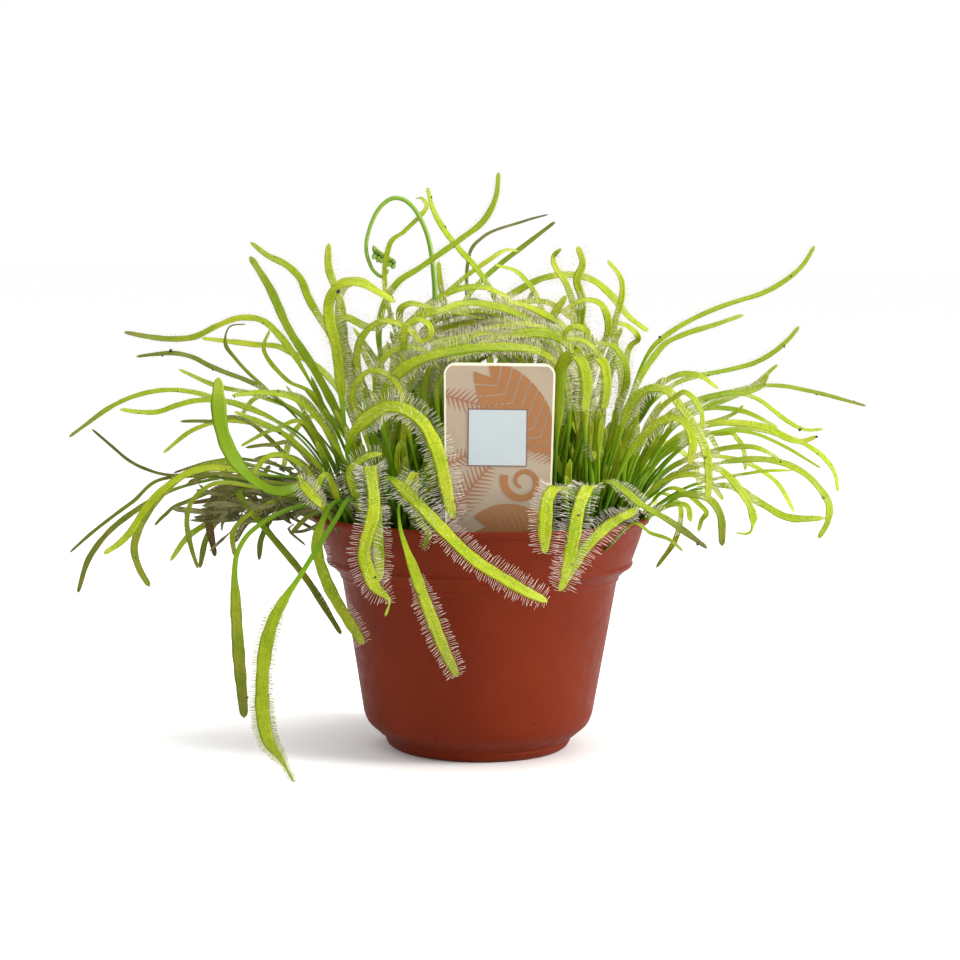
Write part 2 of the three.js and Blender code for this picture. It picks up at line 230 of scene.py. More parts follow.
def build_mottle():
    group, source, result = new_group(
        "mottle",
        [("Scale", "NodeSocketFloat", 100.0), ("Contrast", "NodeSocketFloat", 1.0)],
        [("Amount", "NodeSocketFloat"), ("Fine", "NodeSocketFloat")])
    place = node(group, "ShaderNodeTexCoord").outputs["Object"]
    broad = node(group, "ShaderNodeTexNoise", Detail=3.0, Roughness=0.6)
    fine = node(group, "ShaderNodeTexNoise", Detail=4.0, Roughness=0.65)
    finer = node(group, "ShaderNodeMath", operation="MULTIPLY")
    finer.inputs[1].default_value = 7.0
    spread = node(group, "ShaderNodeMapRange")
    low = node(group, "ShaderNodeMath", operation="MULTIPLY_ADD")
    high = node(group, "ShaderNodeMath", operation="MULTIPLY_ADD")
    for edge, side in ((low, -0.25), (high, 0.25)):
        edge.inputs[1].default_value = side
        edge.inputs[2].default_value = 0.5
        flipped = node(group, "ShaderNodeMath", operation="DIVIDE")
        flipped.inputs[0].default_value = 1.0
        join(group, source.outputs["Contrast"], flipped.inputs[1])
        join(group, flipped.outputs[0], edge.inputs[0])
    join(group, place, broad.inputs["Vector"])
    join(group, place, fine.inputs["Vector"])
    join(group, source.outputs["Scale"], broad.inputs["Scale"])
    join(group, source.outputs["Scale"], finer.inputs[0])
    join(group, finer.outputs[0], fine.inputs["Scale"])
    join(group, broad.outputs["Fac"], spread.inputs["Value"])
    join(group, low.outputs[0], spread.inputs["From Min"])
    join(group, high.outputs[0], spread.inputs["From Max"])
    join(group, spread.outputs["Result"], result.inputs["Amount"])
    join(group, fine.outputs["Fac"], result.inputs["Fine"])
    return group


mottle = build_mottle()

# %% Group: specks


def build_specks():
    group, source, result = new_group(
        "specks",
        [("Scale", "NodeSocketFloat", 300.0), ("Size", "NodeSocketFloat", 0.2),
         ("Share", "NodeSocketFloat", 0.2)],
        [("Mask", "NodeSocketFloat")])
    place = node(group, "ShaderNodeTexCoord").outputs["Object"]
    cells = node(group, "ShaderNodeTexVoronoi")
    near = node(group, "ShaderNodeMath", operation="LESS_THAN")
    chosen = node(group, "ShaderNodeMath", operation="LESS_THAN")
    pick = node(group, "ShaderNodeSeparateColor")
    both = node(group, "ShaderNodeMath", operation="MULTIPLY")
    join(group, place, cells.inputs["Vector"])
    join(group, source.outputs["Scale"], cells.inputs["Scale"])
    join(group, cells.outputs["Distance"], near.inputs[0])
    join(group, source.outputs["Size"], near.inputs[1])
    join(group, cells.outputs["Color"], pick.inputs["Color"])
    join(group, pick.outputs["Red"], chosen.inputs[0])
    join(group, source.outputs["Share"], chosen.inputs[1])
    join(group, near.outputs[0], both.inputs[0])
    join(group, chosen.outputs[0], both.inputs[1])
    join(group, both.outputs[0], result.inputs["Mask"])
    return group


specks = build_specks()
print("node groups:", [g.name for g in bpy.data.node_groups])

# %% Helpers that place a group, mix two colours and start a material


def use_group(tree, group, **values):
    placed = tree.nodes.new("ShaderNodeGroup")
    placed.node_tree = group
    for key, value in values.items():
        placed.inputs[key].default_value = value
    return placed


def blend(tree, amount, first, second):
    """A colour between first and second. Each is a socket, or a colour."""
    mix = tree.nodes.new("ShaderNodeMix")
    mix.data_type = "RGBA"
    for socket, value in ((mix.inputs[0], amount), (mix.inputs[6], first), (mix.inputs[7], second)):
        if isinstance(value, bpy.types.NodeSocket):
            tree.links.new(value, socket)
        else:
            socket.default_value = value
    return mix.outputs[2]


def scaled(tree, value, low, high, to_low=0.0, to_high=1.0):
    """value between low and high, as a number between to_low and to_high."""
    spread = tree.nodes.new("ShaderNodeMapRange")
    spread.interpolation_type = "SMOOTHSTEP"
    tree.links.new(value, spread.inputs["Value"])
    for key, number in (("From Min", low), ("From Max", high), ("To Min", to_low), ("To Max", to_high)):
        spread.inputs[key].default_value = number
    return spread.outputs["Result"]


def mark_of(tree, name):
    marked = tree.nodes.new("ShaderNodeAttribute")
    marked.attribute_name = name
    return marked.outputs["Fac"]


def new_material(name):
    material = bpy.data.materials.new(name)
    material.use_nodes = True
    return material, material.node_tree, material.node_tree.nodes["Principled BSDF"]


def bump(tree, shader, height, strength, distance):
    made = tree.nodes.new("ShaderNodeBump")
    made.inputs["Strength"].default_value = strength
    made.inputs["Distance"].default_value = distance
    tree.links.new(height, made.inputs["Height"])
    tree.links.new(made.outputs["Normal"], shader.inputs["Normal"])


# %% [markdown]
# ## The pot
# A nursery pot is one thin shell of terracotta-coloured plastic, moulded so that it stacks: a narrow lip, a
# flared collar, a step, a tapered body and a small foot. The frame has the shell with few facets. Here the
# same profile is turned again with rounded corners and many more steps, which is how a mould is drawn, and
# the drain holes are cut through its floor.

# %% Pot finish


def pot_plastic():
    material, tree, shader = new_material("terracotta_plastic")
    clouds = use_group(tree, mottle, Scale=28.0, Contrast=0.8)
    scuffs = use_group(tree, mottle, Scale=210.0, Contrast=1.4)
    dirt = use_group(tree, specks, Scale=420.0, Size=0.16, Share=0.035)
    colour = blend(tree, clouds.outputs["Amount"], paint("591a06"), paint("67220a"))
    colour = blend(tree, scaled(tree, scuffs.outputs["Fine"], 0.5, 0.8, 0.0, 0.3), colour, paint("7a3217"))
    colour = blend(tree, dirt.outputs["Mask"], colour, paint("331510"))
    tree.links.new(colour, shader.inputs["Base Color"])
    tree.links.new(scaled(tree, clouds.outputs["Fine"], 0.3, 0.7, 0.46, 0.58), shader.inputs["Roughness"])
    shader.inputs["Specular IOR Level"].default_value = 0.07
    bump(tree, shader, scuffs.outputs["Fine"], 0.12, 0.0004)
    return material


terracotta = pot_plastic()

# %% Turn a rounded profile

POT_FLOOR = 1.4
POT_STEPS = 144
# radius, height and corner rounding, in millimetres, from the middle of the floor up the outside
POT_OUTSIDE = [
    (0, 0, 0), (30.3, 0, 0.8), (32, 1.2, 0.5), (32.9, 2.9, 0.3), (32.7, 3.3, 0.2), (33.8, 4.6, 0.6),
    (34.8, 5.2, 0.8), (39.0, 8.8, 1.2), (40.5, 12, 1.5), (48.6, 60.0, 0.6), (49.3, 60.6, 0.3),
    (49.4, 61.8, 0.4), (52.4, 64.6, 0.8), (53.7, 65.2, 0.3), (54.2, 66.2, 0.3), (53.9, 67.4, 0.3),
    (56.6, 75, 1.5), (58.1, 80.4, 0.3), (59.7, 80.9, 0.3), (60, 82, 0.4), (59.7, 83, 0.4)]
# and from the rim back down the inside
POT_INSIDE = [
    (57.9, 83, 0.4), (57.2, 80, 0.8), (55.6, 75, 1.0), (52.9, 68, 0.8), (48.1, 63, 0.8), (39.6, 12.6, 2.0),
    (33, 6.2, 1.0), (30.6, POT_FLOOR, 1.0), (0, POT_FLOOR, 0)]


def rounded(profile, steps=4):
    """Each corner of the profile cut back by its rounding and bridged by a small curve."""
    corners = np.array([p[:2] for p in profile], float)
    line = [corners[0]]
    for before, corner, after, radius in zip(
            corners, corners[1:], corners[2:], [p[2] for p in profile[1:-1]]):
        into, out = before - corner, after - corner
        into *= min(radius, 0.45 * np.linalg.norm(into)) / np.linalg.norm(into)
        out *= min(radius, 0.45 * np.linalg.norm(out)) / np.linalg.norm(out)
        for t in np.linspace(0, 1, steps):
            line.append((1 - t) ** 2 * (corner + into) + 2 * t * (1 - t) * corner + t * t * (corner + out))
    line.append(corners[-1])
    return np.array(line)


def turned(profile, steps, wave=None):
    """The profile turned about the upright axis: points, and one band of quads between its rings."""
    angle = np.linspace(0, 2 * np.pi, steps, endpoint=False)
    radius, height = profile[:, 0][:, None], profile[:, 1][:, None]
    points = np.stack([radius * np.cos(angle), radius * np.sin(angle), height + 0 * angle], -1)
    if wave is not None:
        points = wave(points)
    ring, side = np.meshgrid(np.arange(len(profile) - 1), np.arange(steps), indexing="ij")
    after = (side + 1) % steps
    quads = np.stack([ring * steps + side, ring * steps + after,
                      (ring + 1) * steps + after, (ring + 1) * steps + side], -1).reshape(-1, 4)
    length = np.concatenate([[0], np.cumsum(np.linalg.norm(np.diff(profile, axis=0), axis=1))])
    length /= length[-1]
    uv = np.stack([np.stack([side / steps, length[ring]], -1),
                   np.stack([(side + 1) / steps, length[ring]], -1),
                   np.stack([(side + 1) / steps, length[ring + 1]], -1),
                   np.stack([side / steps, length[ring + 1]], -1)], 2)
    return points.reshape(-1, 3) * MM, quads, uv.reshape(-1, 4, 2)


def split_long(profile, longest):
    """Adds points to the long straight runs of a profile."""
    line = [profile[0]]
    for a, b in zip(profile, profile[1:]):
        count = max(1, math.ceil(np.linalg.norm(b - a) / longest))
        line += [a + (b - a) * (i + 1) / count for i in range(count)]
    return np.array(line)


def mould_waves(points):
    """A warm moulded shell is never quite round: its wall wanders by a few tenths of a millimetre."""
    angle = np.arctan2(points[..., 1], points[..., 0])
    radius = np.linalg.norm(points[..., :2], axis=-1)
    lift = np.clip(points[..., 2] / 83, 0, 1) * np.clip(radius / 30, 0, 1)
    sway = 0.22 * np.sin(2 * angle + 0.6) + 0.12 * np.sin(5 * angle + points[..., 2] / 17)
    grow = 1 + (sway - 0.3) * lift / np.maximum(radius, 1)
    points[..., 0] *= grow
    points[..., 1] *= grow
    return points


def build_pot():
    profile = split_long(rounded(POT_OUTSIDE + POT_INSIDE), 6.0)
    points, quads, uv = turned(profile, POT_STEPS, mould_waves)
    pot = make_piece("nursery_pot", points, [quads], [0], [terracotta], ["pot"], "pot_plastic", uv=[uv])
    return pot


pot = build_pot()
print("pot faces", len(pot.data.polygons))

# %% Cut the drain holes through the floor
DRAIN_HOLES = 6
DRAIN_RADIUS = 3.0 * MM
DRAIN_CIRCLE = 23.0 * MM


def cut_drains(piece):
    cutter_mesh = bpy.data.meshes.new("drain_cutter")
    cutters = bmesh.new()
    for i in range(DRAIN_HOLES):
        angle = i / DRAIN_HOLES * 2 * math.pi
        made = bmesh.ops.create_cone(cutters, cap_ends=True, segments=24, radius1=DRAIN_RADIUS,
                                     radius2=DRAIN_RADIUS, depth=6 * MM)
        move = Vector((DRAIN_CIRCLE * math.cos(angle), DRAIN_CIRCLE * math.sin(angle), 0))
        bmesh.ops.translate(cutters, verts=made["verts"], vec=move)
    cutters.to_mesh(cutter_mesh)
    cutters.free()
    cutter = bpy.data.objects.new("drain_cutter", cutter_mesh)
    bpy.context.scene.collection.objects.link(cutter)
    welded = bmesh.new()
    welded.from_mesh(piece.data)
    bmesh.ops.remove_doubles(welded, verts=welded.verts, dist=1e-6)
    welded.to_mesh(piece.data)
    welded.free()
    drill = piece.modifiers.new("drain_holes", "BOOLEAN")
    drill.object = cutter
    drill.solver = "EXACT"
    with bpy.context.temp_override(object=piece, active_object=piece, selected_objects=[piece]):
        bpy.ops.object.modifier_apply(modifier=drill.name)
    bpy.data.objects.remove(cutter)


cut_drains(pot)
print("pot faces with drain holes", len(pot.data.polygons))

# %% [markdown]
# ## The peat
# The pot is filled with dark peat. Only its top shows, between the leaves and through the watering space
# behind the label, so the top gets the work: a mound displaced by noise, and loose crumbs and fibres on it.
# The sides follow the inside of the pot.

# %% Peat finish


def peat_earth():
    material, tree, shader = new_material("peat")
    crumbs = use_group(tree, mottle, Scale=260.0, Contrast=1.2)
    colour = blend(tree, crumbs.outputs["Amount"], paint("17110d"), paint("33261c"))
    colour = blend(tree, scaled(tree, crumbs.outputs["Fine"], 0.55, 0.75, 0.0, 0.7), colour, paint("5a4430"))
    tree.links.new(colour, shader.inputs["Base Color"])
    shader.inputs["Roughness"].default_value = 0.95
    shader.inputs["Specular IOR Level"].default_value = 0.2
    bump(tree, shader, crumbs.outputs["Fine"], 0.8, 0.001)
    return material


def dry_litter():
    material, tree, shader = new_material("dry_litter")
    patches = use_group(tree, mottle, Scale=190.0, Contrast=1.3)
    colour = blend(tree, patches.outputs["Amount"], paint("4a4c1c"), paint("827d4a"))
    colour = blend(tree, scaled(tree, patches.outputs["Fine"], 0.5, 0.72, 0.0, 0.8), colour, paint("3c4019"))
    tree.links.new(colour, shader.inputs["Base Color"])
    shader.inputs["Roughness"].default_value = 0.8
    bump(tree, shader, patches.outputs["Fine"], 0.5, 0.0004)
    return material


peat = peat_earth()
litter = dry_litter()

# %% The mound
PEAT_RINGS = 46
PEAT_STEPS = 110
PEAT_SIDE = [(54.6, 74.6), (52.2, 68.4), (47.4, 63), (39.0, 13), (33, 7), (30.2, 1.8), (0, 1.8)]


def ruffle(x, y, scale):
    """A cheap smooth noise made of a few crossed waves, about -1 to 1."""
    return (np.sin(x * 1.7 * scale + 1.3 * np.sin(y * 0.9 * scale)) * 0.5
            + np.sin(y * 2.3 * scale + 1.1 * np.sin(x * 1.3 * scale) + 2) * 0.3
            + np.sin((x + y) * 3.9 * scale + 4) * 0.2)


def build_peat():
    inward = np.linspace(0, 54.6, PEAT_RINGS)
    top = np.stack([inward, np.full_like(inward, 75.0)], 1)
    profile = np.concatenate([top, np.array(PEAT_SIDE)[:]])
    top_count = PEAT_RINGS

    def lumps(points):
        x, y = points[:top_count, :, 0], points[:top_count, :, 1]
        edge = 1 - (np.hypot(x, y) / 54.6) ** 6
        points[:top_count, :, 2] += edge * (0.9 * ruffle(x, y, 0.25) + 0.5 * ruffle(y, x, 0.9))
        return points

    points, quads, uv = turned(profile, PEAT_STEPS, lumps)
    return make_piece("peat_mound", points, [quads[:, ::-1]], [0], [peat], ["soil"], "peat", uv=[uv[:, ::-1]])


peat_piece = build_peat()
print("peat faces", len(peat_piece.data.polygons))

# %% Crumbs: many squashed, dented lumps joined in one mesh
CRUMBS = 1500
BALL = bmesh.new()
bmesh.ops.create_icosphere(BALL, subdivisions=1, radius=1)
BALL_POINTS = np.array([v.co for v in BALL.verts])
BALL_FACES = np.array([[v.index for v in f.verts] for f in BALL.faces])
BALL.free()


def lumps(rng, centres, sizes, flatness=0.7):
    """Dented balls at the centres, as points and faces."""
    count = len(centres)
    dent = rng.uniform(0.65, 1.25, (count, len(BALL_POINTS), 1))
    shape = rng.uniform(flatness, 1.2, (count, 1, 3)) * sizes[:, None, None]
    points = BALL_POINTS[None] * dent * shape
    turn = rng.uniform(0, 2 * np.pi, count)
    cos, sin = np.cos(turn)[:, None], np.sin(turn)[:, None]
    x, z = points[..., 0].copy(), points[..., 2].copy()
    points[..., 0] = cos * x + sin * z
    points[..., 2] = cos * z - sin * x
    points += centres[:, None, :]
    faces = BALL_FACES[None] + (np.arange(count) * len(BALL_POINTS))[:, None, None]
    return points.reshape(-1, 3), faces.reshape(-1, 3)


def build_crumbs():
    rng = np.random.default_rng(3)
    radius = 54 * np.sqrt(rng.uniform(0, 1, CRUMBS))
    angle = rng.uniform(0, 2 * np.pi, CRUMBS)
    centres = np.stack([radius * np.cos(angle), radius * np.sin(angle),
                        75.2 + rng.uniform(-0.3, 0.7, CRUMBS)], 1)
    sizes = rng.gamma(3.0, 0.22, CRUMBS) + 0.3
    sizes = np.minimum(sizes, (56 - radius) * 0.6)
    points, faces = lumps(rng, centres, sizes)
    return make_piece("peat_crumbs", points * MM, [faces], [0], [peat], slot="peat")


crumbs = build_crumbs()
print("crumb faces", len(crumbs.data.polygons))

# %% [markdown]
# ## The label
# The label is a thin card on a stake, printed in warm browns. Its print here is a plain pale panel in
# a frame, with fern fronds, a broad leaf and a curled fern tip round it, which any grower could have chosen.
# The print is modelled as very thin inlays, each one drawn by a few lines of code, so that it stays sharp
# from close by.

# %% Card and print finishes


def card_finish(name, first, second, roughness=0.5):
    material, tree, shader = new_material(name)
    fibres = use_group(tree, mottle, Scale=55.0, Contrast=0.9)
    colour = blend(tree, fibres.outputs["Amount"], paint(first), paint(second))
    tree.links.new(colour, shader.inputs["Base Color"])
    shader.inputs["Roughness"].default_value = roughness
    bump(tree, shader, fibres.outputs["Fine"], 0.05, 0.0003)
    return material


card_ground = card_finish("card_ground", "93836f", "a5937c")
card_blank = card_finish("card_blank", "dad6c0", "cdc8b2")
print_brown = card_finish("print_brown", "84573a", "906344")
print_leaf = card_finish("print_leaf", "93602f", "87562b")
print_panel = card_finish("print_panel", "aab2b4", "a1abae")
print_line = card_finish("print_line", "75584a", "6a4d40")

# %% The card itself, from the frame's box
label_low, label_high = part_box("label")
LABEL_TOP_WIDTH = 37.0
LABEL_FOOT_WIDTH = 35.0
LABEL_SHOULDER_TOP = 80.0
LABEL_SHOULDER = 76.0
LABEL_STAKE = 10.0
LABEL_CORNER = 4.0
label_middle = (label_low.x + label_high.x) / 2 / MM
label_front = label_low.y / MM
label_back = label_high.y / MM
label_top = label_high.z / MM
label_point = label_low.z / MM


def card_outline():
    """Anticlockwise from the stake's point, x measured from the card's middle."""
    half, foot, stake = LABEL_TOP_WIDTH / 2, LABEL_FOOT_WIDTH / 2, LABEL_STAKE / 2
    right = [(0, label_point), (stake, label_point + 4), (stake, LABEL_SHOULDER), (foot, LABEL_SHOULDER_TOP)]
    corner = [(half - LABEL_CORNER + LABEL_CORNER * math.cos(a), label_top - LABEL_CORNER
               + LABEL_CORNER * math.sin(a)) for a in np.linspace(0, math.pi / 2, 9)]
    right += corner
    left = [(-x, z) for x, z in right[:0:-1]]
    return np.array(right + left)


def slab(outline, front, back):
    """A flat closed slab between two depths, as points and faces given as lists."""
    count = len(outline)
    x, z = outline[:, 0] + label_middle, outline[:, 1]
    points = np.concatenate([np.stack([x, np.full(count, d), z], 1) for d in (front, back)])
    walls = [(i, i + count, (i + 1) % count + count, (i + 1) % count) for i in range(count)]
    return points, [tuple(range(count))], [tuple(range(2 * count - 1, count - 1, -1))], walls


def flat_piece(name, outlines, front, back, materials, wall_slot=0, **facts):
    mesh = bpy.data.meshes.new(name)
    points, faces, wear = [], [], []
    for outline, slot in outlines:
        more, fronts, backs, walls = slab(outline, front, back)
        start = sum(len(p) for p in points)
        points.append(more)
        rim_slot = slot if wall_slot is None else wall_slot
        for group, material in ((fronts, slot), (backs, slot), (walls, rim_slot)):
            faces += [tuple(i + start for i in face) for face in group]
            wear += [material] * len(group)
    mesh.from_pydata(np.concatenate(points) * MM, [], faces)
    for material in materials:
        mesh.materials.append(material)
    mesh.polygons.foreach_set("material_index", wear)
    piece = bpy.data.objects.new(name, mesh)
    bpy.context.scene.collection.objects.link(piece)
    attach(piece, **facts)
    return piece


card = flat_piece("label_card", [(card_outline(), 0)], label_front, label_back, [card_blank],
                  replaces=["label"], slot="label_card")
print("card", round(label_top - LABEL_SHOULDER_TOP), "mm tall above its shoulder")

# %% Print: fronds, a broad leaf, a curled tip and the panel
INLAY = 0.06    # thickness of the printed layer
CARD_LOW = LABEL_SHOULDER_TOP + 0.4
CARD_HALF = LABEL_FOOT_WIDTH / 2 - 0.6


def trimmed(outline):
    """Keeps an outline on the card, just inside its border."""
    kept = outline.copy()
    climb = (kept[:, 1] - CARD_LOW) / (label_top - CARD_LOW)
    half = CARD_HALF + climb * (LABEL_TOP_WIDTH - LABEL_FOOT_WIDTH) / 2
    kept[:, 0] = np.clip(kept[:, 0], -half, half)
    kept[:, 1] = np.clip(kept[:, 1], CARD_LOW, label_top - 1)
    return kept


def frond(start, heading, length, leaflet, pairs, bend=0.0):
    """A fern frond: a curved rib with slanting leaflets on both sides, as two lists of outlines."""
    outlines, ribs = [], []
    place = np.array(start, float)
    step = length / pairs
    for i in range(pairs):
        along = np.array([math.cos(heading), math.sin(heading)])
        out = np.array([-along[1], along[0]])
        size = leaflet * math.sin(math.pi * (0.18 + 0.8 * i / pairs)) ** 0.7
        rib = 0.22
        ribs.append(np.array([place - rib * out, place + along * step - rib * out,
                              place + along * step + rib * out, place + rib * out]))
        for side in (-1, 1):
            tip = place + side * out * size + along * size * 0.75
            wide = step * 0.62
            outlines.append(np.array([place, place + along * wide,
                                      tip + along * wide * 0.15, tip, place + (tip - place) * 0.5]
                                     if side < 0 else
                                     [place, place + (tip - place) * 0.5, tip, tip + along * wide * 0.15,
                                      place + along * wide]))
        place = place + along * step
        heading += bend / pairs
    return outlines, ribs


def ribbon_outline(line, widths):
    """The outline of a flat ribbon along a line, wide as given at each point."""
    along = np.gradient(line, axis=0)
    along /= np.linalg.norm(along, axis=1)[:, None]
    out = np.stack([-along[:, 1], along[:, 0]], 1) * widths[:, None] / 2
    return np.concatenate([line - out, (line + out)[::-1]])


def curled_tip(centre, turns, radius):
    """A young fern tip: a ribbon that winds inwards and thins."""
    t = np.linspace(0, 1, 44)
    angle = -0.35 + t * turns * 2 * math.pi
    reach = radius * (1 - 0.74 * t)
    line = np.stack([centre[0] + reach * np.cos(angle + math.pi),
                     centre[1] + reach * np.sin(angle + math.pi)], 1)
    return ribbon_outline(line, 2.6 * (1 - 0.68 * t))


def broad_leaf(base, tip, width, lobes):
    """A broad leaf cut into lobes by its veins, as one outline for each lobe."""
    base, tip = np.array(base, float), np.array(tip, float)
    along = (tip - base) / np.linalg.norm(tip - base)
    out = np.array([-along[1], along[0]])
    length = np.linalg.norm(tip - base)
    outlines = []
    for i in range(lobes):
        first, last = i / lobes, (i + 0.86) / lobes
        for side in (-1, 1):
            inner = [base + along * length * first, base + along * length * last]
            outer = [base + along * (length * t + width * 0.28) + side * out * width / 2
                     * math.sin(math.pi * (0.12 + 0.84 * t)) ** 0.6 for t in (last, first)]
            outline = inner + outer
            outlines.append(np.array(outline if side > 0 else outline[::-1]))
    return outlines


def rectangle(x0, z0, x1, z1):
    return np.array([(x0, z0), (x1, z0), (x1, z1), (x0, z1)], float)


def anticlockwise(outline):
    x, z = outline[:, 0], outline[:, 1]
    area = np.sum(x * np.roll(z, -1) - np.roll(x, -1) * z)
    return outline if area > 0 else outline[::-1]


def printed(name, outlines, layer, material):
    flat = [(anticlockwise(trimmed(o)), 0) for o in outlines]
    front = label_front - INLAY * layer
    return flat_piece(name, flat, front, front + INLAY * 0.9, [material], slot="label_card")


fronds = [frond((-19.5, 127.5), -0.28, 25, 4.4, 15, 0.1), frond((-17.5, 84), 1.02, 25, 5.6, 15, -0.2),
          frond((-20, 103), 0.42, 12, 3.2, 8), frond((20, 106), 2.7, 12, 4.4, 9)]
MARGIN = 0.5    # the blank edge left round the print
ground = card_outline()
ground = ground[ground[:, 1] > LABEL_SHOULDER_TOP - 1]
ground = (ground - [0, 109]) * [1 - 2 * MARGIN / LABEL_TOP_WIDTH, 1 - 2 * MARGIN / 58] + [0, 109]
printed("label_ground", [ground], 1, card_ground)
printed("label_ferns", sum((f[0] for f in fronds), []), 2, print_brown)
printed("label_fern_ribs", sum((f[1] for f in fronds), []), 3, print_brown)
printed("label_broad_leaves", broad_leaf((18.5, 108), (-3.0, 133.5), 19, 9)
        + broad_leaf((20, 81), (-4, 83.5), 17, 11) + [curled_tip((8.2, 98.5), 1.25, 6.6)],
        4, print_leaf)
printed("label_panel_frame", [rectangle(-10.4, 103.6, 9.4, 122.8)], 5, print_line)
panel = printed("label_panel", [rectangle(-10.0, 104.0, 9.0, 122.4)], 6, print_panel)
print("fronds", len(fronds))

# %% [markdown]
# ## Leaf finishes
# A fresh blade is a bright yellow-green, lit through from behind; the bare stalk below it is a cooler,
# darker green, near black at the root with painted shade, and higher up a vivid green that is partly a
# painted glow of light through it; old blades turn olive and brown from the tip. All of that is one material.
# Numbers kept on the mesh tell it where it is: "along" runs from root to tip, "across" from edge to edge,
# "blade" is 0 on the stalk and 1 on the blade, "age" and "tone" are set for each leaf, and "foot" paints
# shade, with some peat stain, on the crowded stalks towards the peat. The glue hairs have their own material:
# greenish at the root, then clear and a little pink, or all olive on the leaves that have lost their glue.

# %% Leaf skin and hair


def leaf_skin():
    material, tree, shader = new_material("leaf_skin")
    along, across, blade = (mark_of(tree, name) for name in ("along", "across", "blade"))
    age, tone, foot = (mark_of(tree, name) for name in ("age", "tone", "foot"))
    patches = use_group(tree, mottle, Scale=120.0, Contrast=1.1)
    pores = use_group(tree, specks, Scale=1500.0, Size=0.3, Share=0.3)
    # long streaks: a noise read in the leaf's own directions, slow along it and quick across
    leafwise = node(tree, "ShaderNodeCombineXYZ")
    tree.links.new(across, leafwise.inputs["X"])
    tree.links.new(along, leafwise.inputs["Y"])
    tree.links.new(tone, leafwise.inputs["Z"])
    streaks = node(tree, "ShaderNodeTexNoise", Scale=3.2, Detail=3.0, Roughness=0.6)
    tree.links.new(leafwise.outputs[0], streaks.inputs["Vector"])
    # painted shade: the stalk is near black at its root, deep in the clump, and turns green higher up
    stalk = blend(tree, scaled(tree, along, 0.07, 0.24), paint("15140a"), paint("4b7602"))
    # higher still the stalk brightens to a vivid green: partly its own colour, partly a painted glow of light
    # shining through it
    stalk = blend(tree, scaled(tree, along, 0.24, 0.55), stalk, paint("7aa006"))
    fresh = blend(tree, patches.outputs["Amount"], paint("84980c"), paint("a9b022"))
    # painted shade, with some peat stain: the "foot" mark darkens the crowded stalks near the peat
    stalk = blend(tree, foot, stalk, paint("120f08"))
    colour = blend(tree, blade, stalk, fresh)
    colour = blend(tree, scaled(tree, tone, 0.0, 1.0, 0.0, 0.9), colour, paint("4f7402"))
    colour = blend(tree, scaled(tree, streaks.outputs["Fac"], 0.45, 0.7, 0.0, 0.6), colour, paint("688306"))
    pale = scaled(tree, along, 0.86, 1.0, 0.0, 0.45)
    colour = blend(tree, pale, colour, paint("b6bf45"))
    shade = scaled(tree, patches.outputs["Fine"], 0.5, 0.72, 0.0, 0.5)
    colour = blend(tree, shade, colour, paint("5c7c04"))
    old = blend(tree, patches.outputs["Amount"], paint("44560c"), paint("6e6a22"))
    colour = blend(tree, scaled(tree, age, 0.05, 0.6), colour, old)
    colour = blend(tree, scaled(tree, age, 0.6, 1.0), colour, paint("4e3a20"))
    feet = scaled(tree, pores.outputs["Mask"], 0.0, 1.0, 0.0, 0.55)
    colour = blend(tree, feet, colour, paint("45610a"))
    tree.links.new(colour, shader.inputs["Base Color"])
    tree.links.new(scaled(tree, patches.outputs["Fine"], 0.3, 0.7, 0.4, 0.58), shader.inputs["Roughness"])
    shader.inputs["Specular IOR Level"].default_value = 0.15
    bump(tree, shader, streaks.outputs["Fac"], 0.3, 0.0004)
    return material


def glue_hair():
    material, tree, shader = new_material("glue_hair")
    hair, tone = mark_of(tree, "hair"), mark_of(tree, "tone")
    tint = use_group(tree, mottle, Scale=500.0, Contrast=1.0)
    clear = blend(tree, scaled(tree, hair, 0.0, 0.4), paint("cdd27c"), paint("f3eadf"))
    clear = blend(tree, scaled(tree, tint.outputs["Fine"], 0.45, 0.7, 0.0, 0.4), clear, paint("d9ab98"))
    green = blend(tree, scaled(tree, hair, 0.0, 0.9), paint("74860e"), paint("a3a03c"))
    colour = blend(tree, tone, clear, green)
    tree.links.new(colour, shader.inputs["Base Color"])
    tree.links.new(scaled(tree, hair, 0.5, 0.9, 0.6, 0.25), shader.inputs["Roughness"])
    shader.inputs["Specular IOR Level"].default_value = 0.3
    return material


skin = leaf_skin()
hair = glue_hair()

# %% [markdown]
# ## Reading a leaf back from its solid
# The frame holds each leaf as a slim solid with sixteen steps and a diamond section. Its shape is right but
# coarse, so it is read back as a line: starting at the middle of the root's end, each ring of four
# points is found by walking one edge further, the middle of the ring is a point of the midrib, and
# the ring's long diagonal says which way the blade is wide. A smooth curve through those points gives
# a leaf with as many steps as wanted.

# %% Walk along a solid, ring by ring


def rings_of(name):
    """Ring middles, wide diagonals and thin diagonals of a leaf's solid, from root to tip, in mm."""
    solid = bmesh.new()
    solid.from_mesh(nodes[name].data)
    bmesh.ops.remove_doubles(solid, verts=solid.verts, dist=0.02 * MM)
    ends = [v for v in solid.verts if len(v.link_edges) == 4]
    start = min(ends, key=lambda v: abs(v.co.z - soil_top))
    seen = {start}
    ring = [e.other_vert(start) for e in start.link_edges]
    centres, first, second = [], [], []
    while len(ring) == 4:
        seen.update(ring)
        corner = ring[0]
        beside = {e.other_vert(corner) for e in corner.link_edges}
        opposite = next(v for v in ring[1:] if v not in beside)
        others = [v for v in ring if v is not corner and v is not opposite]
        centres.append(sum((v.co for v in ring), Vector()) / 4)
        first.append(corner.co - opposite.co)
        second.append(others[0].co - others[1].co)
        after = {e.other_vert(v) for v in ring for e in v.link_edges} - seen
        ring = list(after)
    solid.free()
    return np.array(centres) / MM, np.array(first) / MM, np.array(second) / MM


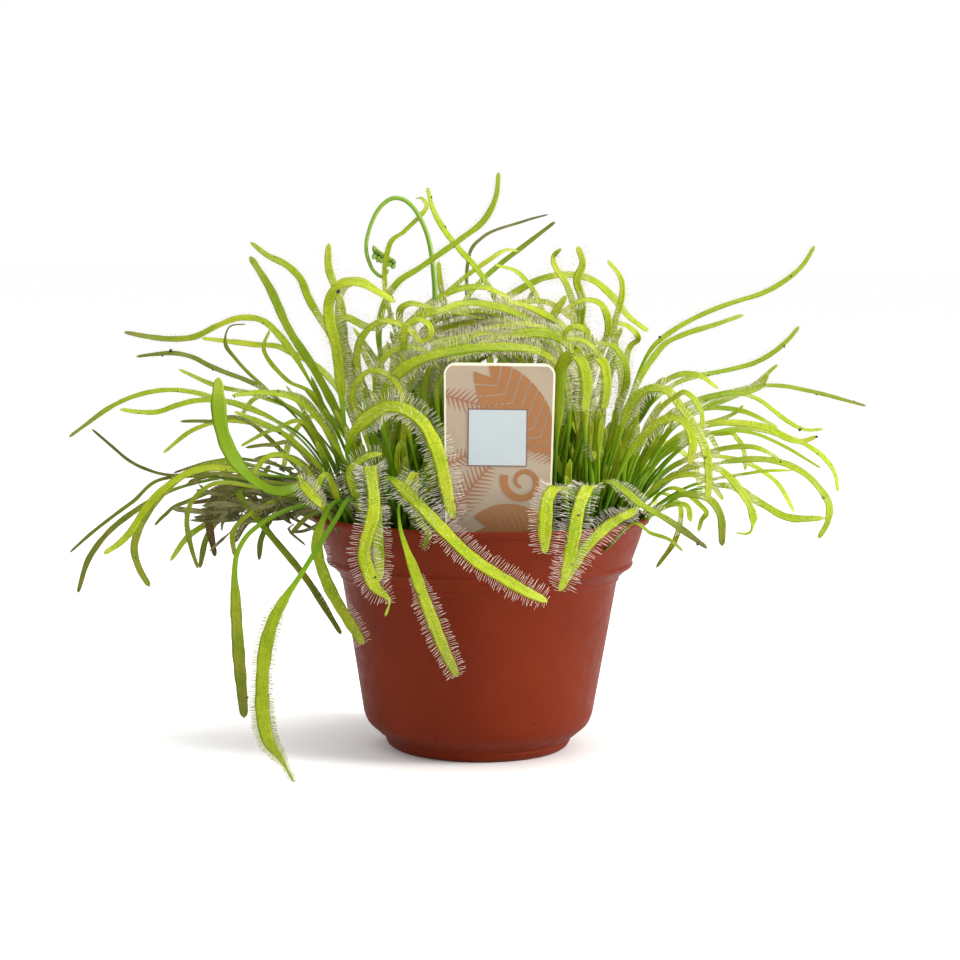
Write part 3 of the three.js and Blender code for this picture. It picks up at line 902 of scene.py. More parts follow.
def wide_and_thin(first, second):
    """Sorts the two diagonals of each ring into the wide one and the thin one, without flips."""
    sizes = np.linalg.norm(first, axis=1), np.linalg.norm(second, axis=1)
    middle = int(np.argmax(np.abs(sizes[0] - sizes[1])))
    wide, thin = first.copy(), second.copy()
    order = [middle, *range(middle + 1, len(first)), *range(middle - 1, -1, -1)]
    for i in order:
        if i == middle:
            swap = sizes[1][i] > sizes[0][i]
            guide = second[i] if swap else first[i]
        else:
            guide = wide[i - 1] if i > middle else wide[i + 1]
            unit = guide / np.linalg.norm(guide)
            swap = abs(second[i] @ unit) / sizes[1][i] > abs(first[i] @ unit) / sizes[0][i]
        if swap:
            wide[i], thin[i] = second[i], first[i]
        if wide[i] @ guide < 0:
            wide[i] = -wide[i]
    return wide, thin


trial = rings_of("leaf_front_01")
print("rings in a leaf", len(trial[0]))

# %% Smooth curves through points


def through(points, counts):
    """A Catmull-Rom curve through the points: values at evenly spread parameters."""
    points = np.asarray(points, float)
    padded = np.concatenate([[2 * points[0] - points[1]], points, [2 * points[-1] - points[-2]]])
    at = np.linspace(0, len(points) - 1, counts)
    i = np.minimum(at.astype(int), len(points) - 2)
    t = (at - i)[:, None] if points.ndim > 1 else at - i
    a, b, c, d = (padded[i + k] for k in range(4))
    return 0.5 * (2 * b + (c - a) * t + (2 * a - 5 * b + 4 * c - d) * t * t
                  + (3 * b - a - 3 * c + d) * t ** 3)


def unit(vectors):
    return vectors / np.maximum(np.linalg.norm(vectors, axis=-1, keepdims=True), 1e-9)


def evenly(points, spacing):
    """The curve's points at even distances along it."""
    fine = through(points, 24 * len(points))
    length = np.concatenate([[0], np.cumsum(np.linalg.norm(np.diff(fine, axis=0), axis=1))])
    count = max(8, int(length[-1] / spacing))
    at = np.linspace(0, length[-1], count)
    return np.stack([np.interp(at, length, fine[:, k]) for k in range(3)], 1), length[-1]


# %% [markdown]
# ## Growing a leaf
# A leaf is a tube of eight points round, closed at both ends, whose section changes on the way up: round
# on the stalk, and a shallow channel with thin edges on the blade. Its hairs stand out of both edges and
# the upper face, two in three of them at the edges. Each hair is a tiny straight club, widest near its
# tip, in real mesh, because strands and particles don't survive an export.

# %% The section of a leaf
SECTION_TURN = np.linspace(0, 2 * np.pi, 8, endpoint=False)
ROUND_SECTION = np.stack([np.cos(SECTION_TURN), np.sin(SECTION_TURN)], 1)
# across, and depth as a share of the thickness: edges up, midrib below
BLADE_SECTION = np.array([(1, 0.55), (0.62, 0.28), (0, 0.1), (-0.62, 0.28),
                          (-1, 0.55), (-0.66, -0.42), (0, -0.9), (0.66, -0.42)])
LEAF_STEP = 0.85    # mm between the rings of a leaf


def leaf_tube(line, across, normal, width, depth, flat, row):
    """Points, quads, end caps and maps of a leaf. flat is 0 where the section is round and 1 on the blade."""
    count, sides = len(line), len(SECTION_TURN)
    section = ROUND_SECTION[None] * (1 - flat)[:, None, None] + BLADE_SECTION[None] * flat[:, None, None]
    points = (line[:, None] + across[:, None] * section[..., :1] * width[:, None, None] / 2
              + normal[:, None] * section[..., 1:] * depth[:, None, None] / 2)
    ring, side = np.meshgrid(np.arange(count - 1), np.arange(sides), indexing="ij")
    after = (side + 1) % sides
    quads = np.stack([ring * sides + side, (ring + 1) * sides + side,
                      (ring + 1) * sides + after, ring * sides + after], -1).reshape(-1, 4)
    low, high = row
    u0, u1 = 0.01 + 0.98 * ring / (count - 1), 0.01 + 0.98 * (ring + 1) / (count - 1)
    v0, v1 = low + (high - low) * side / sides, low + (high - low) * (side + 1) / sides
    uv = np.stack([np.stack([u0, v0], -1), np.stack([u1, v0], -1),
                   np.stack([u1, v1], -1), np.stack([u0, v1], -1)], 2).reshape(-1, 4, 2)
    root = np.arange(sides)
    caps = np.stack([root, (count - 1) * sides + root[::-1]])
    spread = 0.5 + ROUND_SECTION * 0.4
    middle = np.array([[0.0, low], [0.991, low]])[:, None]
    cap_uv = middle + np.stack([spread, spread[::-1]]) * [0.009, high - low]
    return points.reshape(-1, 3), quads, uv, caps, cap_uv


# %% The hairs of a leaf
HAIR_DROP = 0.86           # how far along its hair the drop is widest
HAIR_RADII = (0.038, 0.048)     # mm at the foot and at the drop, for a hair of thickness 1
HAIR_MAP = (0.84, 0.99)         # the strip of the map that all hairs share
HAIR_TURN = np.array([0, 2 * np.pi / 3, 4 * np.pi / 3])
HAIR_BAND = np.array([[k, (k + 1) % 3, 3 + (k + 1) % 3, 3 + k] for k in range(3)])
HAIR_CAP = np.array([[3 + k, 3 + (k + 1) % 3, 6] for k in range(3)])


def grow_hairs(rng, roots, directions, lengths, thick):
    """Hairs as points, quads, end triangles and how far along its hair each point is."""
    count = len(roots)
    directions = unit(directions)
    side = unit(np.cross(directions, rng.normal(size=(count, 3))))
    other = np.cross(directions, side)
    ring = side[:, None] * np.cos(HAIR_TURN)[:, None] + other[:, None] * np.sin(HAIR_TURN)[:, None]
    reach = directions * lengths[:, None]
    foot = roots[:, None] + ring * HAIR_RADII[0] * thick
    drop = (roots + reach * HAIR_DROP)[:, None] + ring * HAIR_RADII[1] * thick
    points = np.concatenate([foot, drop, (roots + reach)[:, None]], 1)
    start = (np.arange(count) * 7)[:, None, None]
    along = np.tile([0, 0, 0, HAIR_DROP, HAIR_DROP, HAIR_DROP, 1.0], count)
    return (points.reshape(-1, 3), (HAIR_BAND[None] + start).reshape(-1, 4),
            (HAIR_CAP[None] + start).reshape(-1, 3), along)


def hair_map(faces, along):
    """All hairs share one strip of the map, from root to drop."""
    low, high = HAIR_MAP
    v = low + (high - low) * along[faces]
    u = 0.1 + 0.8 * (faces % 7 % 3) / 3
    return np.stack([u, v], -1)


# %% A whole leaf as a bundle of arrays


class Growth:
    """Collects the arrays of one piece: tubes first, then hairs."""

    def __init__(self):
        self.points, self.faces, self.slots, self.uv = [], [], [], []
        self.marks = {"along": [], "across": [], "blade": [], "age": [], "hair": [], "tone": [],
                      "foot": []}
        self.count = 0

    def add(self, points, faces, slot, uv, **marks):
        self.points.append(points)
        for face, spread in zip(faces, uv):
            self.faces.append(face + self.count)
            self.slots.append(slot)
            self.uv.append(spread)
        for name, values in self.marks.items():
            values.append(np.broadcast_to(marks.get(name, 0.0), len(points)))
        self.count += len(points)

    def finish(self, name, materials, **facts):
        marks = {name: np.concatenate(values) for name, values in self.marks.items()}
        return make_piece(name, np.concatenate(self.points) * MM, self.faces, self.slots, materials,
                          marks=marks, uv=self.uv, **facts)


def grow_leaf(growth, rng, line, across, width, depth, flat, age, hairs, row=(0.01, 0.8), tone=0.0, foot=0.0):
    """hairs is None for a bare leaf, or (number for each mm of blade, length in mm, tone, bare share)."""
    along = unit(np.gradient(line, axis=0))
    across = unit(across - along * np.sum(across * along, 1)[:, None])
    normal = np.cross(across, along)
    count = len(line)
    t = np.linspace(0, 1, count)
    length = np.linalg.norm(np.diff(line, axis=0), axis=1).sum()
    wobble = 1 + flat * (0.06 * np.sin(t * length * 0.33 + rng.uniform(0, 6))
                         + 0.035 * np.sin(t * length * 0.9 + rng.uniform(0, 6)))
    left = np.clip((1 - t) * length / max(1.8, 0.8 * width[int(count * 0.9)]), 0.0, 1)
    ends = np.sqrt(np.clip(1 - (1 - left) ** 2, 0.004, 1))
    width = width * wobble * ends
    points, quads, uv, caps, cap_uv = leaf_tube(line, across, normal, width, depth * ends, flat, row)
    sides = len(SECTION_TURN)
    ages = np.clip(age(t), 0, 1)
    seed = rng.uniform(0, 20)
    # painted shade of the crowded stalks: darkest at the peat, gone foot mm above it
    foot_shade = np.clip((soil_top / MM + foot - points[:, 2]) / max(foot, 1), 0, 1) * (foot > 0)
    growth.add(points, [quads, caps], 0, [uv, cap_uv], along=np.repeat(t, sides),
               blade=np.repeat(flat, sides), tone=tone, foot=foot_shade,
               age=np.repeat(ages, sides), across=seed + np.tile(BLADE_SECTION[:, 0], count))
    if hairs is None:
        return
    density, reach, hair_tone, *bare = hairs
    blade = np.nonzero((flat > 0.55) & (t > (bare[0] if bare else 0)))[0]
    if len(blade) < 2:
        return
    number = int(density * len(blade) * length / count)
    at = blade[0] + (blade[-1] - blade[0]) * (np.arange(number) + rng.uniform(0, 1, number)) / number
    i = at.astype(int)
    j = np.minimum(i + 1, count - 1)
    f = (at - i)[:, None]
    place, out, up, ahead = (a[i] * (1 - f) + a[j] * f for a in (line, across, normal, along))
    wide = (width[i] * (1 - f[:, 0]) + width[j] * f[:, 0])
    # two hairs in three stand at an edge, left and right in turn; the rest are short ones on the face
    u = rng.uniform(-0.75, 0.75, number)
    rank = np.arange(number) % 3
    u = np.where(rank == 0, 0.97, np.where(rank == 1, -0.97, u))
    edge = np.where(rank < 2, rng.uniform(0.75, 1.0, number), np.abs(u) ** 2 * 0.6)
    root = place + out * (u * wide / 2 * 0.98)[:, None] + up * (0.15 * depth[i] * np.abs(u))[:, None]
    droop = rng.uniform(-0.25, 0.75, number)[:, None]
    direction = (out * (np.sign(u) * (0.2 + edge))[:, None] + up * (droop * edge[:, None] + 1 - edge[:, None])
                 + ahead * rng.uniform(-0.05, 0.25, number)[:, None] + rng.normal(size=(number, 3)) * 0.07)
    lengths = reach * (0.35 + 0.65 * edge) * rng.uniform(0.8, 1.1, number) * np.clip(wide / 2.2, 0.6, 1.1)
    lengths *= np.clip((at - blade[0]) / 9, 0.35, 1)
    hair_points, bands, caps, how_far = grow_hairs(rng, root, direction, lengths, 1 + 0.8 * hair_tone)
    growth.add(hair_points, [bands, caps], 1, [hair_map(bands, how_far), hair_map(caps, how_far)],
               hair=how_far, blade=1.0, tone=hair_tone)


# %% [markdown]
# ## The leaves of the frame
# Every leaf of the frame is read back and grown again as a piece of its own. The leaves that hang over the
# front are in full glue, with long hairs; those far out on the sides have lost most of theirs. A few
# leaves are old, and a few have only dry tips.

# %% Which leaf is how hairy and how old
HAIRS_BY_SIDE = {"front": (4.4, 4.0, 0.0), "top": (5.0, 3.2, 0.4), "left": (3.0, 1.1, 0.8),
                 "right": (5.0, 1.6, 0.6), "back": (5.0, 2.8, 0.4)}
HAIRS_OF = {"front_10": (2.0, 0.9, 1.0), "front_11": (0.6, 0.8, 1.0), "front_12": None,
            "front_08": (4.4, 2.8, 0.2), "front_07": (4.8, 3.2, 0.05, 0.6), "front_09": (13.0, 2.1, 1.0),
            "left_09": (6.0, 2.0, 0.4), "left_10": (6.0, 2.2, 0.4), "left_03": (3.0, 1.4, 0.8),
            "top_01": (4.0, 1.2, 0.7), "top_02": (4.0, 1.2, 0.7), "top_04": (3.0, 1.0, 0.8),
            "top_05": (5.0, 1.4, 0.6), "right_10": (8.0, 2.6, 0.3), "right_11": (8.0, 3.2, 0.2),
            "right_12": (7.0, 2.4, 0.3), "right_03": (7.0, 2.2, 0.4), "right_09": (7.0, 2.2, 0.4)}
# how old the stalk end is, and how old the tip is
AGES_OF = {"front_10": (0.25, 0.6), "front_11": (0.35, 0.65), "front_07": (0.1, 0.45),
           "front_08": (0.2, 0.35),
           "front_09": (0.0, 0.35), "left_01": (0.3, 0.35), "left_03": (0.3, 0.5), "left_04": (0.1, 0.4),
           "left_06": (0.0, 0.5), "left_07": (0.4, 0.5), "left_08": (0.3, 0.55), "top_01": (0.0, 0.35),
           "top_02": (0.0, 0.3), "right_04": (0.2, 0.5), "right_07": (0.2, 0.35), "right_12": (0.0, 0.9),
           "front_02": (0.0, 0.3), "back_02": (0.1, 0.5)}
# how much thinner than the frame's solids the stalks really are
SLIM_BY_SIDE = {"front": 0.95, "top": 0.7, "left": 0.5, "right": 0.5, "back": 0.8}
# leaves with a longer stalk, leaves whose tips thin out to threads, and leaves of another tone
LONG_STALKS = {"front_07": 0.5}
THREAD_TIPS = ("front_09", "front_06")
TONES_OF = {"front_12": 0.75, "front_09": 0.3, "left_06": 0.1, "top_01": 0.55}


def aged(pair):
    low, high = pair
    return lambda t: low + (high - low) * np.clip((t - 0.55) / 0.45, 0, 1) ** 1.5


def build_frame_leaf(name, number):
    short = name.removeprefix("leaf_")
    side = short.split("_")[0]
    rng = np.random.default_rng(100 + number)
    centres, first, second = rings_of(name)
    wide, thin = wide_and_thin(first, second)
    line, length = evenly(centres, LEAF_STEP)
    count = len(line)
    width = np.linalg.norm(wide, axis=1)
    depth = np.linalg.norm(thin, axis=1)
    across = unit(through(unit(wide), count))
    widths = np.maximum(through(width, count), 0.3)
    depths = np.maximum(through(depth, count), 0.2)
    flat = np.clip((widths / depths - 1.2) / 1.3, 0, 1)
    towards = np.array([0, -0.75, 0.66])
    facing = np.cross(across, np.gradient(line, axis=0)) @ towards
    if np.sum(facing * flat) < 0:
        across = -across
    slim = SLIM_BY_SIDE[side]
    blunt = 0.3 * np.clip((np.linspace(0, 1, count) - 0.84) / 0.16, 0, 1) * widths.max()
    widths = (widths + blunt) * (slim + (1 - 0.5 * (1 - slim) - slim) * flat)
    depths = depths * (0.82 - 0.2 * flat) * (slim + (1 - slim) * flat)
    along = np.linspace(0, 1, count)
    if short in LONG_STALKS:
        widths *= 0.55 + 0.45 * np.clip((along - LONG_STALKS[short]) / 0.12, 0, 1)
    if short in THREAD_TIPS:
        widths *= 1 - 0.75 * np.clip((along - 0.86) / 0.1, 0, 1)
    growth = Growth()
    age = aged(AGES_OF.get(short, (0.0, rng.uniform(0.0, 0.12))))
    hairs = HAIRS_OF.get(short, HAIRS_BY_SIDE[side])
    tone = TONES_OF.get(short, rng.uniform(0, 0.15 if side == "front" else 0.45))
    grow_leaf(growth, rng, line, across, widths, depths, flat, age, hairs, tone=tone)
    return growth.finish("sundew_" + name, [skin, hair], replaces=[name], slot="leaf")


leaf_names = sorted(n for n in nodes if n.startswith("leaf_"))
leaf_pieces = [build_frame_leaf(name, i) for i, name in enumerate(leaf_names)]
print("leaves", len(leaf_pieces), "faces", sum(len(p.data.polygons) for p in leaf_pieces))

# %% [markdown]
# ## The flower stalk
# One flower stalk stands out of the clump: bare, round, thinning upwards and rolled over at its tip like a
# crozier, with its buds packed on one side of the roll. It is read back from the frame like a leaf and
# turned into a round tube. The buds are a cluster of pointed drops in two rows, each grown as a short
# round tube.

# %% Stalk and buds


def stalk_skin():
    material, tree, shader = new_material("stalk_skin")
    along = mark_of(tree, "along")
    patches = use_group(tree, mottle, Scale=150.0, Contrast=1.0)
    colour = blend(tree, scaled(tree, along, 0.2, 0.9), paint("5f8a14"), paint("74941f"))
    colour = blend(tree, scaled(tree, patches.outputs["Fine"], 0.5, 0.75, 0.0, 0.5), colour, paint("4c7410"))
    tree.links.new(colour, shader.inputs["Base Color"])
    shader.inputs["Roughness"].default_value = 0.45
    bump(tree, shader, patches.outputs["Fine"], 0.2, 0.0003)
    return material


def bud_skin():
    material, tree, shader = new_material("bud_skin")
    along = mark_of(tree, "along")
    patches = use_group(tree, mottle, Scale=420.0, Contrast=1.2)
    colour = blend(tree, scaled(tree, along, 0.1, 0.9), paint("47700f"), paint("86a02a"))
    colour = blend(tree, scaled(tree, patches.outputs["Fine"], 0.48, 0.7, 0.0, 0.7), colour, paint("2c4f0c"))
    tree.links.new(colour, shader.inputs["Base Color"])
    shader.inputs["Roughness"].default_value = 0.6
    bump(tree, shader, patches.outputs["Fine"], 0.4, 0.0004)
    return material


def build_stalk():
    rng = np.random.default_rng(7)
    centres, first, second = rings_of("flower_stalk")
    line, length = evenly(centres, 0.8)
    across = unit(through(unit(wide_and_thin(first, second)[0]), len(line)))
    width = np.linspace(2.6, 1.3, len(line))
    growth = Growth()
    grow_leaf(growth, rng, line, across, width, width, np.zeros(len(line)), aged((0, 0)), None)
    return growth.finish("flower_scape", [stalk_skin()], replaces=["flower_stalk"], slot="stalk")


BUD_ROWS = 2
BUDS_IN_ROW = 6


def build_buds():
    rng = np.random.default_rng(11)
    low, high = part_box("flower_buds")
    centre = np.array((low + high) / 2) / MM
    growth = Growth()
    t = np.linspace(0, 1, 9)
    total = BUD_ROWS * BUDS_IN_ROW
    rachis = np.array([0.86, 0.1, -0.5])
    for i in range(total):
        row, k = divmod(i, BUDS_IN_ROW)
        side = 1 if row else -1
        aim = unit(np.array([-0.35, -0.75 + 0.3 * side, 0.9 * side]) + rng.normal(size=3) * 0.12)
        base = centre + rachis * (k - (BUDS_IN_ROW - 1) / 2) * 1.5 + np.array([0, 0.8, 0])
        length = rng.uniform(3.3, 4.0) * (1 - 0.07 * k)
        line = base + aim * (t * length)[:, None]
        width = 1.8 * np.sin(np.pi * (0.1 + 0.86 * t)) ** 0.7 + 0.12
        across = unit(np.tile(np.cross(aim, [0.3, 0.9, 0.2]), (len(t), 1)))
        grow_leaf(growth, rng, line, across, width, width, np.zeros(len(t)), aged((0, 0)), None,
                  (0.01 + 0.98 * i / total, 0.01 + 0.98 * (i + 0.9) / total))
    return growth.finish("flower_bud_cluster", [bud_skin()], replaces=["flower_buds"], slot="bud")


scape = build_stalk()
buds = build_buds()
print("stalk and buds", len(scape.data.polygons) + len(buds.data.polygons), "faces")

# %% [markdown]
# ## Leaves between the leaves
# A grown clump has more leaves than the frame holds. The thinner ones, the stubs and the dry ones
# follow here.
# Each is a route of a few points from its root in the peat, like the frame's own leaves, and they are joined
# in one piece for each side of the plant.

# %% Grow a leaf along a route
FACING = np.array([0, -0.75, 0.66])


def carried_across(line):
    """Directions across a line, carried along it and turned to face the front."""
    along = unit(np.gradient(line, axis=0))
    across = np.zeros_like(line)
    held = None
    for i, heading in enumerate(along):
        wanted = np.cross(heading, FACING)
        if held is None:
            held = wanted
        if held @ wanted < 0:
            wanted = -wanted
        held = held + (wanted - held) * min(1.0, wanted @ wanted)
        held = held - heading * (held @ heading)
        held = held / max(np.linalg.norm(held), 1e-9)
        across[i] = held
    return across


def grow_route(growth, rng, route, width, blade_start, age, hairs, row, stalk=1.2, tone=0.0, step=LEAF_STEP,
               foot=0.0):
    """A leaf along a route in mm; a route of [x, y] starts in the peat."""
    points = [p if len(p) == 3 else (p[0], p[1], soil_top / MM - 0.5) for p in route]
    line, length = evenly(np.array(points, float), step)
    t = np.linspace(0, 1, len(line))
    flat = np.clip((t - blade_start) / 0.18, 0, 1)
    flat = flat * flat * (3 - 2 * flat)
    tip = 1 - 0.4 * np.clip((t - 0.82) / 0.18, 0, 1) ** 2
    widths = (stalk + (width - stalk) * flat) * tip
    depths = (stalk * 0.85 * (1 - flat) + 0.7 * flat) * tip
    across = carried_across(line)
    if np.sum(np.cross(across, np.gradient(line, axis=0)) @ FACING * (flat + 0.01)) < 0:
        across = -across
    grow_leaf(growth, rng, line, across, widths, depths, flat, aged(age), hairs, row, tone, foot)


def grow_group(name, leaves, seed, sway=0.0):
    """leaves: (width, where the blade starts, (age at the stalk, at the tip), hairs, route)."""
    rng = np.random.default_rng(seed)
    growth = Growth()
    for i, (width, blade_start, age, hairs, route) in enumerate(leaves):
        row = (0.01 + 0.8 * i / len(leaves), 0.01 + 0.8 * (i + 0.9) / len(leaves))
        offset = rng.uniform(-sway, sway)
        last = len(route) - 1
        route = [(p[0], p[1] + offset * (k / last) ** 2, *p[2:]) for k, p in enumerate(route)]
        grow_route(growth, rng, route, width, blade_start, age, hairs, row, tone=rng.uniform(0, 0.5))
    return growth.finish(name, [skin, hair], slot="leaf")


FRESH, OLD, DRY = (0.0, 0.08), (0.35, 0.55), (0.8, 1.0)
LONG, SOFT, SPARSE = (4.8, 3.4, 0.15), (3.6, 2.2, 0.5), (3.0, 1.0, 0.8)
FUZZY = (6.0, 3.0, 0.5)

# %% Left of the clump
LEFT_LEAVES = [
    (3.6, 0.35, FRESH, LONG, [(-30, -22), (-34, -44, 90), (-34, -54, 84), (-33, -54, 66)]),
    (2.4, 0.5, OLD, SPARSE, [(-50, 4), (-72, 4, 94), (-104, 5, 91), (-126, 5, 79), (-138, 5, 66),
                             (-143, 5, 52)]),
    (1.6, 0.5, OLD, None, [(-50, -3), (-78, -2, 92), (-110, 0, 94), (-123, 0, 85), (-136, 0, 75),
                           (-145, 0, 67)]),
    (2.6, 0.4, (0.8, 1.0), SPARSE, [(-52, -10), (-74, -12, 86), (-89, -14, 92), (-94, -14, 82),
                                    (-92, -14, 68)]),
    (1.8, 0.4, OLD, None, [(-50, 6), (-84, 2, 90), (-105, 0, 85), (-111, 0, 81), (-115, 0, 77)]),
    (1.8, 0.3, OLD, None, [(-46, 14), (-80, 6, 112), (-96, 0, 114), (-106, 0, 114)]),
    (1.3, 0.5, (0.7, 0.8), None, [(-46, -2), (-80, 0, 90), (-95, 0, 95), (-110, 0, 95), (-118, 0, 97),
                                  (-124, 0, 100), (-130, 0, 105), (-137, 0, 111)]),
    (2.6, 0.4, FRESH, SPARSE, [(-34, 16), (-52, 38, 122), (-72, 50, 137), (-86, 55, 139), (-105, 57, 141)]),
    (1.9, 0.3, OLD, None, [(-44, 6), (-64, 3, 104), (-74, 0, 106), (-83, 0, 105)]),
    (1.7, 0.3, OLD, None, [(-44, 2), (-62, 1, 99), (-73, 0, 102), (-80, 0, 101)]),
    (2.0, 0.35, FRESH, SPARSE, [(-40, 10), (-58, 8, 116), (-70, 6, 124), (-80, 5, 122), (-86, 5, 114)]),
    (1.7, 0.4, FRESH, None, [(-36, 12), (-56, 16, 118), (-70, 18, 128), (-78, 18, 138), (-76, 18, 146)]),
    (2.2, 0.3, FRESH, SOFT, [(-48, -14), (-58, -20, 96), (-66, -24, 104), (-73, -26, 104), (-78, -26, 98)]),
    (2.4, 0.3, FRESH, SOFT, [(-44, -20), (-52, -30, 98), (-57, -34, 93), (-62, -34, 99)]),
    (2.0, 0.3, (0.2, 0.4), SOFT, [(-50, -16), (-62, -22, 90), (-76, -26, 86), (-84, -27, 79),
                                  (-84, -27, 70)]),
    (1.8, 0.3, FRESH, SPARSE, [(-46, 0), (-60, -4, 112), (-72, -5, 112), (-84, -6, 106)]),
    (2.4, 0.35, FRESH, SPARSE, [(-50, -6), (-66, -9, 88), (-84, -10, 84), (-100, -11, 76), (-108, -11, 66)]),
    (2.2, 0.35, OLD, SPARSE, [(-52, 2), (-70, 1, 86), (-88, 0, 82), (-96, 0, 74), (-99, 0, 62)]),
    (2.0, 0.4, FRESH, SPARSE, [(-44, 18), (-66, 26, 104), (-88, 30, 112), (-104, 31, 109), (-116, 31, 100)]),
    (2.0, 0.4, FRESH, SPARSE, [(-42, 22), (-62, 36, 110), (-80, 42, 120), (-98, 44, 124), (-112, 44, 130)]),
    (2.2, 0.3, (0.6, 0.95), None, [(-50, -4), (-64, -6, 90), (-78, -8, 92), (-90, -8, 88), (-101, -8, 86)]),
    (1.8, 0.3, (0.6, 0.9), None, [(-50, 8), (-66, 8, 88), (-80, 8, 96), (-92, 8, 95), (-104, 8, 92)]),
    (2.4, 0.3, (0.5, 0.9), SPARSE, [(-52, -2), (-64, -4, 84), (-74, -5, 84), (-82, -5, 79), (-86, -5, 72)]),
    (1.6, 0.3, (0.6, 0.9), None, [(-52, 6), (-68, 6, 86), (-82, 6, 88), (-92, 6, 84), (-98, 6, 80)]),
    (2.0, 0.3, (0.5, 0.8), SPARSE, [(-50, -12), (-60, -18, 86), (-70, -22, 84), (-75, -22, 76),
                                    (-76, -22, 68)]),
    (1.5, 0.3, (0.4, 0.8), None, [(-46, -14), (-62, -20, 92), (-78, -24, 96), (-92, -25, 98),
                                  (-101, -25, 94)]),
    (1.4, 0.3, (0.5, 0.9), None, [(-48, 0), (-66, -2, 96), (-82, -3, 101), (-95, -3, 100), (-108, -3, 96)]),
]
left_leaves = grow_group("thin_leaves_left", LEFT_LEAVES, 21)
print("left leaves", len(LEFT_LEAVES), "faces", len(left_leaves.data.polygons))

